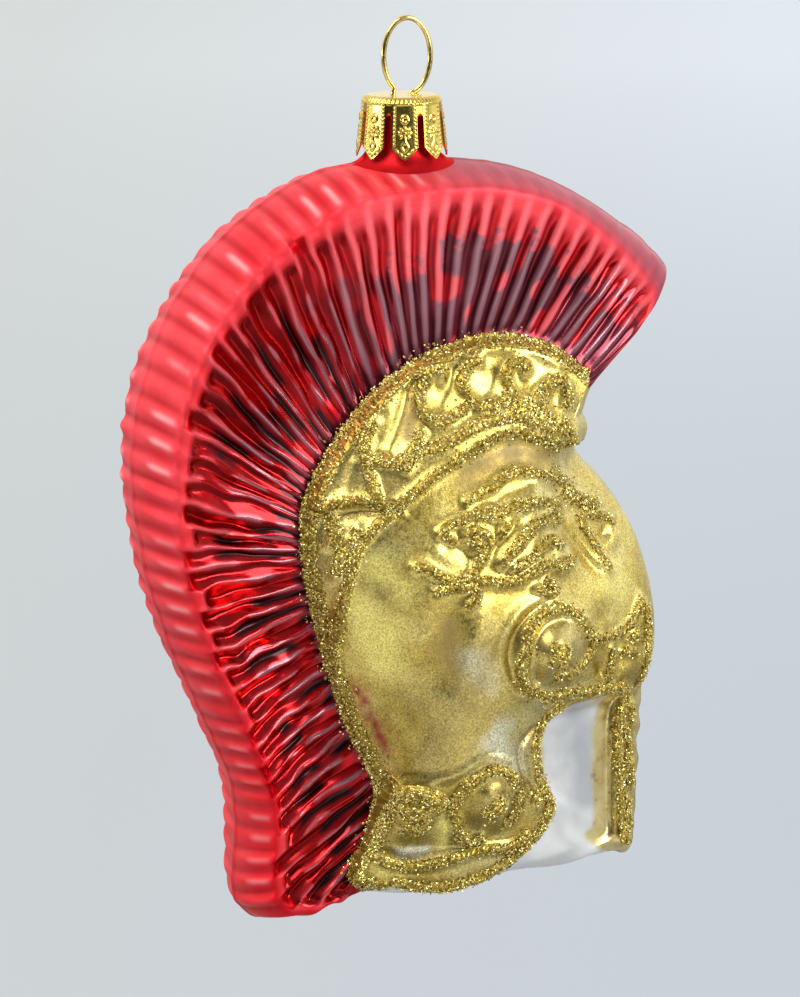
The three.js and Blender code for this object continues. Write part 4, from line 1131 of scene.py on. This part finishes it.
def brass_material(name, dark, light, stamped):
    n = new_material(name)
    cloud = n.noise(700, 4, 0.6)
    colour = n.ramp(cloud, (0.3, dark), (0.7, light))
    colour = n.blend(n.attribute("stamped"), colour, stamped)
    rough = n.ramp(n.noise(1500, 3, 0.6), (0.3, 0.14), (0.7, 0.26))
    return n.finish(Base_Color=colour, Metallic=1.0, Roughness=rough,
                    Normal=n.bump(n.noise(2500, 2), 0.00001, 0.4))


def glitter_material():
    n = new_material("glitter_flakes")
    tone = n.attribute("tone")
    colour = n.ramp(tone, (0.0, (0.13, 0.08, 0.01)), (0.30, (0.45, 0.32, 0.05)),
                    (0.60, (0.88, 0.73, 0.19)), (1.0, (1.0, 0.97, 0.50)))
    rough = n.ramp(tone, (0.0, 0.40), (1.0, 0.24))
    return n.finish(Base_Color=colour, Metallic=0.72, Roughness=rough)


red = crest_material()
gold = gold_material()
white = face_material()
cap_brass = brass_material("cap_brass", (0.90, 0.66, 0.12), (1, 0.82, 0.20), (0.46, 0.24, 0.04))
wire_brass = brass_material("wire_brass", (0.72, 0.52, 0.16), (0.90, 0.70, 0.26),
                            (0.62, 0.42, 0.12))
glitter = glitter_material()


def gold_masks(x, z, sides):
    """Masks of the gold's patches, painted highlights and painted shade; sides says whether the
    hem's mist, the stains and the painted shade show
    """
    return {"mist": red_mist(x, z) * sides, "stain_and_shade": brown_stain_and_shade(x, z) * sides,
            "silver": patches(x, z, silver_patches) * sides,
            "bright": patches(x, z, painted_highlight_patches)}


shell_x, _, shell_z = shell_flat.T
crest_masks = {key: np.clip(paint, -1 if key == "depth" else 0, 1).reshape(-1)
               for key, paint in crest_paint.items()}
face_masks = {"gilt": np.clip(gilt, 0, 1).reshape(-1),
              "shade": patches(shell_x, shell_z, painted_shade_patches)}
for name, keep, material, slot, attributes in (
    ("glass_crest", is_crest, red, "crest_glass", crest_masks),
    ("glass_front", is_front, gold, "gold_glass", gold_masks(shell_x, shell_z, 0)),
    ("glass_face", is_face, white, "face_glass", face_masks),
):
    faces = grid_faces(column_count, len(rows_signed), keep, closed=True)
    vertices, faces, normals, *extras = compact(shell_flat, faces, normals_flat,
                                                *attributes.values())
    mesh = mesh_from(name, vertices, facing_out(vertices, faces, normals))
    add_attributes(mesh, dict(zip(attributes, extras)))
    mesh.normals_split_custom_set_from_vertices(normals.tolist())
    add_piece(name, mesh, material, "glass_body")

# The side's rings, from the shell's own last row to the middle
rings = np.concatenate([shell[bulge_columns, :1], bulge], 1)
rings[:, -1] = rings[:, -1].mean(0)
ring_normals = outward_normals(rings)
ring_normals[:, -1] = np.array([0, -1, 0])
bulge_faces = grid_faces(len(bulge_columns), bulge_count + 1, closed=True)
for name, flip in (("glass_side_right", 1), ("glass_side_left", -1)):
    turned = np.array([1, flip, 1])
    vertices = (rings * turned).reshape(-1, 3)
    normals = (ring_normals * turned).reshape(-1, 3)
    mesh = mesh_from(name, vertices, facing_out(vertices, bulge_faces, normals))
    add_attributes(mesh, gold_masks(vertices[:, 0], vertices[:, 2], 1))
    add_piece(name, mesh, gold, "glass_body")

# The right side as one surface, to seat the glitter on
right_half = np.where(rows_signed <= 0)[0]
right_shell = shell[:, right_half]
shell_quads = grid_faces(column_count, len(right_half), closed=True)
surface_points = np.concatenate([right_shell.reshape(-1, 3), rings.reshape(-1, 3)])
surface_faces = np.concatenate([shell_quads, bulge_faces + right_shell[..., 0].size])
surface = BVHTree.FromPolygons(surface_points.tolist(), surface_faces.tolist())


def seat(x, z):
    """Place and outward normal of the right side at a place in the seam plane"""
    hit, normal, face, far = surface.ray_cast(Vector((x, -60, z)), Vector((0, 1, 0)))
    if hit is None:
        return None
    return np.array(hit), np.array(normal if normal.y < 0 else -normal)


def crown_surface(x, y):
    """Level of the crest's top at a place in plan"""
    hit, normal, face, far = surface.ray_cast(Vector((x, -abs(y), 0)), Vector((0, 0, -1)))
    return hit.z if hit else crown_top


def make_neck():
    """The neck, which widens onto the crest in a fillet"""
    turns, foot_reach, fillet = 72, 8.0, 3.0
    wide = foot_reach - neck_radius
    columns = []
    for k in range(turns):
        angle = 2 * math.pi * k / turns
        way = np.array([math.cos(angle), math.sin(angle)])
        points = [(neck_radius - 0.5, neck_top), (neck_radius - 0.15, neck_top),
                  (neck_radius, neck_top - 0.2)]
        meet = crown_surface(axis_x + way[0] * neck_radius, way[1] * neck_radius) + fillet
        points += [(neck_radius, z) for z in np.linspace(neck_top - 0.6, meet + 0.5, 10)]
        for t in np.linspace(0, 1, 14):
            radius = neck_radius + wide * (1 - math.cos(t * math.pi / 2))
            base = crown_surface(axis_x + way[0] * radius, way[1] * radius)
            up = fillet * (1 - math.sin(t * math.pi / 2))
            points.append((radius, base + up - 0.05 * t))
        columns.append([(axis_x + way[0] * r, way[1] * r, z) for r, z in points])
    grid = np.array(columns)
    vertices = grid.reshape(-1, 3)
    out = vertices - np.array([axis_x, 0, 0])
    out[:, 2] = 0.0
    faces = grid_faces(turns, grid.shape[1], closed=True)
    mesh = mesh_from("glass_neck", vertices, facing_out(vertices, faces, out))
    add_attributes(mesh, {key: 0.9 if key == "groove" else 0 for key in crest_paint})
    add_piece("glass_neck", mesh, red, "glass_body")


make_neck()

grain_points = np.array([[1, 0, 0], [0, 1, 0], [-1, 0, 0],
                         [0, -1, 0], [0, 0, 1], [0, 0, -1]], float)
grain_faces = np.array([[0, 1, 4], [1, 2, 4], [2, 3, 4], [3, 0, 4],
                        [1, 0, 5], [2, 1, 5], [3, 2, 5], [0, 3, 5]])
across_shares = np.array([-1, -0.75, -0.4, 0, 0.4, 0.75, 1])
bed_step = 0.34
grains_per_area = 15.5


def tube_faces(stations, around):
    """Triangles of a closed tube of rings, with both ends capped"""
    i, k = np.meshgrid(np.arange(stations - 1), np.arange(around), indexing="ij")
    j = (k + 1) % around
    here, ahead, last = i * around, (i + 1) * around, (stations - 1) * around
    quads = np.stack([here + k, ahead + k, ahead + j, here + j], -1).reshape(-1, 4)
    caps = [[0, k, k + 1] for k in range(1, around - 1)]
    caps += [[last, last + k + 1, last + k] for k in range(1, around - 1)]
    return np.concatenate([quads[:, [0, 1, 2]], quads[:, [0, 2, 3]], np.array(caps)])


def directions(stations):
    run = np.gradient(stations, axis=0)
    return run / np.hypot(*run.T)[:, None]


def glitter_bed(points, width, seed):
    """A low granular rope along a line, closed underneath"""
    stations = resampled(points, bed_step)
    run = directions(stations)
    count = len(stations)
    along = np.arange(count) * bed_step
    taper = np.minimum(1, 0.4 + 0.4 * np.minimum(np.arange(count), np.arange(count)[::-1]))
    half = width / 2 * taper
    left = half * (0.92 + 0.30 * noise((along / 0.9)[:, None], 1, seed))
    right = half * (0.92 + 0.30 * noise((along / 0.9 + 40)[:, None], 1, seed + 1))
    vertices, tones = [], []
    for i, (place, way) in enumerate(zip(stations, run)):
        cross = np.array([-way[1], way[0]])
        found = []
        for a in across_shares:
            spot = place + cross * (a * (right[i] if a > 0 else left[i]))
            hit = seat(*spot)
            if hit is None:
                flat = np.array([spot[0], 0, spot[1]]), np.array([0, -1, 0])
                hit = found[-1] if found else flat
            found.append(hit)
        rough = noise([[i * 1.7 + 0.3, k * 1.9] for k in range(len(across_shares))], 1, seed + 2)
        for a, grain, (hit, normal) in zip(across_shares, rough, found):
            up = (0.26 + 0.10 * grain) * math.sqrt(max(1 - a * a, 0)) * taper[i]
            up = up - (0.06 if abs(a) == 1 else 0)
            vertices.append(hit + normal * up)
            tones.append(0.26 + 0.22 * grain)
        hit, normal = found[len(found) // 2]
        vertices.append(hit - normal * 0.15)
        tones.append(0.1)
    faces = tube_faces(count, len(across_shares) + 1)
    return np.array(vertices), faces, np.array(tones), stations, run


def grains(stations, run, width, draw, cover):
    """Faceted grains strewn along a line"""
    length = bed_step * (len(stations) - 1)
    count = int(length * width * grains_per_area * cover) + 6
    vertices, faces, tones = [], [], []
    for g in range(count):
        i = draw.integers(len(stations))
        off = draw.uniform(-1, 1)
        if draw.random() < 0.16:
            off = draw.normal(0, 1.0)
            off = min(max(off, -1.9), 1.9)
        spot = stations[i] + run[i] * draw.uniform(-0.2, 0.2)
        spot = spot + np.array([-run[i][1], run[i][0]]) * off * width / 2
        hit = seat(*spot)
        if hit is None:
            continue
        place, normal = hit
        up = 0.24 * math.sqrt(max(1 - min(abs(off), 1) ** 2, 0)) + draw.uniform(0.02, 0.20)
        size = draw.uniform(0.12, 0.22)
        tilt = normal + draw.normal(0, 0.5, 3)
        tilt /= np.linalg.norm(tilt)
        first = np.cross(tilt, draw.normal(0, 1, 3))
        first /= np.linalg.norm(first)
        second = np.cross(tilt, first)
        stretch = draw.uniform(0.75, 1.2)
        local = grain_points * np.array([size * stretch, size / stretch, size * 0.40])
        local[:4] += draw.uniform(-0.04, 0.04, (4, 3))
        centre = place + normal * up
        solid = centre + local[:, :1] * first + local[:, 1:2] * second + local[:, 2:] * tilt
        faces.append(grain_faces + len(vertices) * 6)
        vertices.append(solid)
        tones.append(np.full(6, draw.beta(1.3, 1.2)))
    return np.concatenate(vertices), np.concatenate(faces), np.concatenate(tones)


def make_glitter():
    for number, (name, several) in enumerate(paths.items()):
        draw = np.random.default_rng(SEED + number)
        vertices, faces, tones, made = [], [], [], 0
        for k, (width, points) in enumerate(several):
            *bed, stations, run = glitter_bed(points, width, 100 + number * 31 + k * 5)
            loose = grains(stations, run, width, draw, 1.3 if name == "crest_line" else 1.0)
            for part, part_faces, part_tones in (bed, loose):
                vertices.append(part)
                faces.append(part_faces + made)
                tones.append(part_tones)
                made += len(part)
        vertices, faces, tones = (np.concatenate(each) for each in (vertices, faces, tones))
        for label, flip in (("right", 1), ("left", -1)):
            placed = vertices * np.array([1, flip, 1])
            turned = faces if flip == 1 else faces[:, ::-1]
            mesh = mesh_from(f"flakes_{name}_{label}", placed, turned, False)
            add_attributes(mesh, {"tone": tones})
            add_piece(f"flakes_{name}_{label}", mesh, glitter,
                      f"glitter_{name}_{label}")


make_glitter()


def petal_edge(across):
    """How far down a petal's foot reaches, 0 to 1 of the point's height, over its width"""
    return 1 - np.abs(across) ** 1.25


def around_axis(radius, angle, z):
    return np.stack([axis_x + radius * np.cos(angle), radius * np.sin(angle), z], -1)


def make_cap():
    point_height, notch_top, petal_thickness = 1.7, 1.15, 0.25
    # How far under the cap's top the stamped ring, rosette, sprig and bud are
    ring_down, rosette_down, sprig_down, bud_down = 3.0, 4.9, 5.85, 6.75
    shoulder = cap_top - cap_chamfer
    tip = cap_top - cap_height
    reach = math.pi / petal_count * (1 - petal_gap_share)
    vertices, faces, tones = [], [], []

    def radius_at(z):
        return np.interp(-z, [-cap_top, -shoulder, -tip],
                         [cap_top_radius, cap_shoulder_radius, cap_skirt_radius])

    def add_grid(points, closed=False, tone=0.45):
        base = sum(len(v) for v in vertices)
        vertices.append(points.reshape(-1, 3))
        tones.append((tone + np.zeros(points.shape[:2])).reshape(-1))
        faces.append(grid_faces(points.shape[0], points.shape[1], closed=closed) + base)

    def ring(profile, turns, relief):
        angles = np.arange(turns) / turns * 2 * math.pi
        radius = np.array([p[0] for p in profile])[None, :] + np.zeros((turns, 1))
        z = np.array([p[1] for p in profile])[None, :] + np.zeros((turns, 1))
        move_r, move_z = relief(angles[:, None], np.arange(len(profile))[None, :])
        radius, z = radius + move_r, z + move_z
        add_grid(around_axis(radius, angles[:, None], z), closed=True)

    # Top, milled chamfer and band, then the inside
    top = [(0.02, cap_top + 0.02), (2.4, cap_top + 0.02), (4.2, cap_top),
           (cap_top_radius - 0.12, cap_top)]
    chamfer = [(mix(cap_top_radius, cap_shoulder_radius, t ** 0.8), mix(cap_top, shoulder, t))
               for t in np.linspace(0, 1, 7)]
    band = [(cap_shoulder_radius - 0.12, mix(shoulder, cap_top - cap_band_height, t))
            for t in np.linspace(0.1, 1, 3)]
    inside = [(cap_shoulder_radius - cap_wall, cap_top - cap_band_height),
              (cap_shoulder_radius - cap_wall, shoulder),
              (cap_top_radius - 0.3, cap_top - cap_wall),
              (0.02, cap_top - cap_wall)]
    profile = top + chamfer + band + inside
    beads = 54

    def milled(angle, row):
        place = (row - len(top)) / (len(chamfer) - 1)
        on = np.exp(-((place - 0.55) / 0.42) ** 2)
        on = on * ((row >= len(top)) & (row < len(top) + len(chamfer)))
        bead = np.abs(np.cos((angle * beads + place * 2.2) / 2)) ** 0.8
        return on * (0.20 * bead - 0.10), on * 0.05 * bead

    ring(profile, 324, milled)

    # Petals: a stamped panel with a beaded border, a ring, a rosette and a bud
    wide, tall = 41, 80
    across = np.linspace(-1, 1, wide)[:, None]
    down = np.linspace(0, 1, tall)[None, :]
    petal_top, gap_top = shoulder - 0.02, cap_top - cap_band_height * 0.82
    for k in range(petal_count):
        angle = petal_phase + 2 * math.pi * k / petal_count
        foot = tip + point_height * (1 - petal_edge(across))
        z = mix(petal_top, foot, down)
        base_radius = radius_at(z)
        drop = petal_top - z
        # The petal's sides draw together into the round notch above the gap
        notch = np.clip((gap_top - z) / notch_top, 0, 1)
        half = reach * (1 + 0.30 * (1 - np.sqrt(np.clip(1 - (1 - notch) ** 2, 0, 1))))
        turn = angle + across * half
        local_x = across * half * base_radius
        side_gap = reach * base_radius - np.abs(local_x)
        foot_gap = (z - foot) * 0.86
        edge_gap = np.minimum(side_gap, foot_gap)
        run = np.where(side_gap < foot_gap, drop, np.abs(local_x) + 9)
        rope = 0.55 + 0.45 * np.cos(run * 2 * math.pi / 0.56)
        rope = rope * np.exp(-((edge_gap - 0.42) / 0.16) ** 2)
        rim = np.exp(-((edge_gap - 0.06) / 0.10) ** 2) * 0.5
        rosette_z = z - (cap_top - rosette_down)
        far = np.hypot(local_x, rosette_z)
        rays = np.cos(4 * np.arctan2(local_x, rosette_z)) ** 2
        rosette = np.exp(-((far - 0.62) / 0.30) ** 2) * rays + np.exp(-(far / 0.22) ** 2)
        ring_far = np.hypot(local_x * 1.15, z - (cap_top - ring_down))
        small_ring = np.exp(-((ring_far - 0.48) / 0.15) ** 2)
        bud_z = z - (cap_top - bud_down)
        bud_half = 0.42 * np.exp(-((bud_z + 0.1) / 0.55) ** 2)
        bud = np.exp(-((np.abs(local_x) - bud_half) / 0.13) ** 2) * np.exp(-(bud_z / 0.85) ** 4)
        sprig = np.exp(-(local_x / 0.14) ** 2)
        sprig = sprig * np.exp(-((z - (cap_top - sprig_down)) / 0.25) ** 2)
        flower = np.maximum.reduce([rosette, small_ring, bud, sprig])
        relief = 0.16 * rope + 0.10 * rim + 0.17 * flower - 0.05
        taper = smooth(drop / 0.25)
        stamped = np.clip(rope + 0.9 * flower, 0, 1) * taper
        stamped = np.maximum(stamped, (side_gap < 0.1) * taper)
        radius = base_radius + relief * taper
        outer = around_axis(radius, turn, z)
        inner = around_axis(base_radius - petal_thickness, turn, z)
        add_grid(outer, tone=stamped)
        add_grid(inner[::4, ::3][::-1])
        # The rim joins the outer and inner faces
        for edge in (np.s_[0], np.s_[-1], np.s_[:, -1]):
            add_grid(np.stack([outer[edge], inner[edge]], 1))

    mesh = mesh_from("cap_stamped", np.concatenate(vertices), np.concatenate(faces))
    add_attributes(mesh, {"stamped": np.concatenate(tones)})
    add_piece("cap_stamped", mesh, cap_brass, "cap")


make_cap()


def wire_path():
    """The wire's middle line: up one leg, round the open loop and down the other"""
    radius = wire_diameter / 2
    centre_x, centre_z = axis_x + loop_lean, radius - (loop_height + radius) / 2
    reach_x = (loop_width - wire_diameter) / 2 + 0.15
    reach_z = (loop_height + radius) / 2
    splay = neck_bore_radius - radius - 0.3 - 0.4
    half = leg_spacing / 2
    left_open, right_open = math.radians(34), math.radians(13)

    def leg(side_sign, depth, out):
        return [axis_x + side_sign * out, cap_top - depth]

    path = [leg(-1, leg_length, splay), leg(-1, leg_length / 2, mix(half, splay, 0.6)),
            leg(-1, 1.2, half), leg(-1, -0.1, half)]
    for t in np.linspace(0, 1, 37):
        angle = math.pi * 1.5 - left_open - (math.pi * 2 - left_open - right_open) * t
        path.append([centre_x + reach_x * math.cos(angle), centre_z + reach_z * math.sin(angle)])
    path += [leg(1, -0.1, half), leg(1, 1.2, half), leg(1, leg_length / 2, mix(half, splay, 0.6)),
             leg(1, leg_length, splay)]
    return resampled(path, 0.35)


def make_wire():
    path = wire_path()
    run = directions(path)
    turns = 14
    angles = np.arange(turns) / turns * 2 * math.pi
    radius = wire_diameter / 2
    points = np.empty((len(path), turns, 3))
    points[..., 0] = path[:, None, 0] - run[:, None, 1] * radius * np.cos(angles)
    points[..., 1] = radius * np.sin(angles)
    points[..., 2] = path[:, None, 1] + run[:, None, 0] * radius * np.cos(angles)
    mesh = mesh_from("hanger_loop", points.reshape(-1, 3), tube_faces(len(path), turns))
    add_attributes(mesh, {"stamped": 0})
    add_piece("hanger_loop", mesh, wire_brass, "hanger_wire")


make_wire()

target = Vector((-0.0010507, 0, -0.068423))
azimuth, elevation = math.radians(20), math.radians(10)
towards = Vector((-math.sin(azimuth) * math.cos(elevation),
                  -math.cos(azimuth) * math.cos(elevation), math.sin(elevation)))
camera_data = bpy.data.cameras.new("camera")
camera_data.sensor_width = 36
camera_data.lens = 6300 / 997 * 36
camera_data.clip_start = 0.01
camera = link_object("camera", camera_data)
camera.location = target + towards * 0.9
camera.rotation_euler = (-towards).to_track_quat("-Z", "Y").to_euler()
bpy.context.scene.camera = camera


def area_light(name, place, size, power, colour):
    """A rectangular lamp that faces the ornament"""
    light = bpy.data.lights.new(name, "AREA")
    light.shape = "RECTANGLE"
    light.size, light.size_y = size
    light.energy = power
    light.color = colour
    obj = link_object(name, light)
    obj.location = place
    aim = Vector((0, 0, -0.07)) - Vector(place)
    obj.rotation_euler = aim.to_track_quat("-Z", "Y").to_euler()


area_light("key", (-0.55, -0.25, 0.75), (0.7, 0.7), 8, (1.0, 0.98, 0.95))
area_light("fill", (0.55, -0.75, 0.25), (0.4, 0.6), 7, (1.0, 0.99, 0.97))
area_light("window", (-0.9, 0.10, -0.02), (0.34, 0.14), 1.3, (0.98, 0.99, 1.0))


def make_world():
    """A pale room: a bright wall behind, and in front dark furniture at eye height"""
    world = bpy.data.worlds.new("room")
    bpy.context.scene.world = world
    n = Nodes(world)
    n.tree.nodes.clear()
    place = n.node("TexCoord").outputs["Generated"]
    # How far a direction points from the camera's side of the room to the wall behind, and up
    behind = n.math("MULTIPLY_ADD", n.along(tuple(-towards), place), 0.5)
    up = n.math("MULTIPLY_ADD", n.node("SeparateXYZ", {0: place}).outputs["Z"], 0.5)
    front = n.ramp(up, (0.0, 0.22), (0.11, 0.35), (0.20, 1.0), (0.33, 0.95), (0.37, 0.22),
                   (0.45, 0.06), (0.56, 0.05), (0.66, 0.22), (0.80, 0.38), (1.0, 0.40))
    wall = n.ramp(up, (0.0, 0.35), (0.30, 0.50), (0.43, 0.60), (0.52, 0.95), (0.62, 1.35),
                  (0.80, 1.1), (1.0, 0.8))
    clutter = n.ramp(n.noise(2.6, 2.0, 0.5, place), (0.35, 0.55), (0.65, 1.45))
    front = n.blend(1.0, front, clutter, "MULTIPLY")
    wall = n.blend(1.0, wall, (0.96, 0.99, 1.02), "MULTIPLY")
    room = n.blend(n.ramp(behind, (0.24, 0.0), (0.42, 0.30), (0.56, 1.0)), front, wall)
    lit = n.node("Background", {"Color": room, "Strength": 1.0})
    seen = n.node("Background", {"Color": (0.66, 0.70, 0.75), "Strength": 1.0})
    eye = n.node("LightPath").outputs["Is Camera Ray"]
    choose = n.node("MixShader", {0: eye, 1: lit.outputs[0], 2: seen.outputs[0]})
    n.node("OutputWorld", {"Surface": choose.outputs[0]})


make_world()


def make_floor():
    turns, reaches, level = 64, np.array([0.001, 0.2, 0.5, 1, 2, 4]), -0.24
    angles = np.arange(turns)[:, None] / turns * 2 * math.pi
    vertices = np.stack([reaches * np.cos(angles), reaches * np.sin(angles),
                         np.full((turns, len(reaches)), level)], -1).reshape(-1, 3) / MM
    faces = grid_faces(turns, len(reaches), closed=True)
    up = np.zeros_like(vertices) + np.array([0, 0, 1])
    mesh = mesh_from("floor", vertices, facing_out(vertices, faces, up))
    n = new_material("floor_paper")
    # The sweep brightens away from the object, and is a little bluer on the right
    far = n.along((math.sin(azimuth) / 2.2, math.cos(azimuth) / 2.2, 0))
    across = n.along((math.cos(azimuth) / 0.36, -math.sin(azimuth) / 0.36, 0))
    across = n.math("ADD", across, 0.5, True)
    far_colour = n.blend(across, (0.49, 0.51, 0.495), (0.565, 0.605, 0.645))
    near_colour = n.blend(across, (0.36, 0.375, 0.355), (0.265, 0.305, 0.375))
    glow = n.blend(n.ramp(far, (0.1, 0.0), (1.0, 1.0)), near_colour, far_colour)
    cloud = n.noise(1.5, 2)
    colour = n.ramp(cloud, (0.3, (0.20, 0.21, 0.22)), (0.7, (0.22, 0.23, 0.24)))
    mesh.materials.append(n.finish(Base_Color=colour, Roughness=0.9, Emission_Color=glow,
                                   Emission_Strength=1.0))
    floor = link_object("floor", mesh)
    floor.visible_glossy = False


make_floor()
bpy.context.scene.view_settings.view_transform = "Standard"
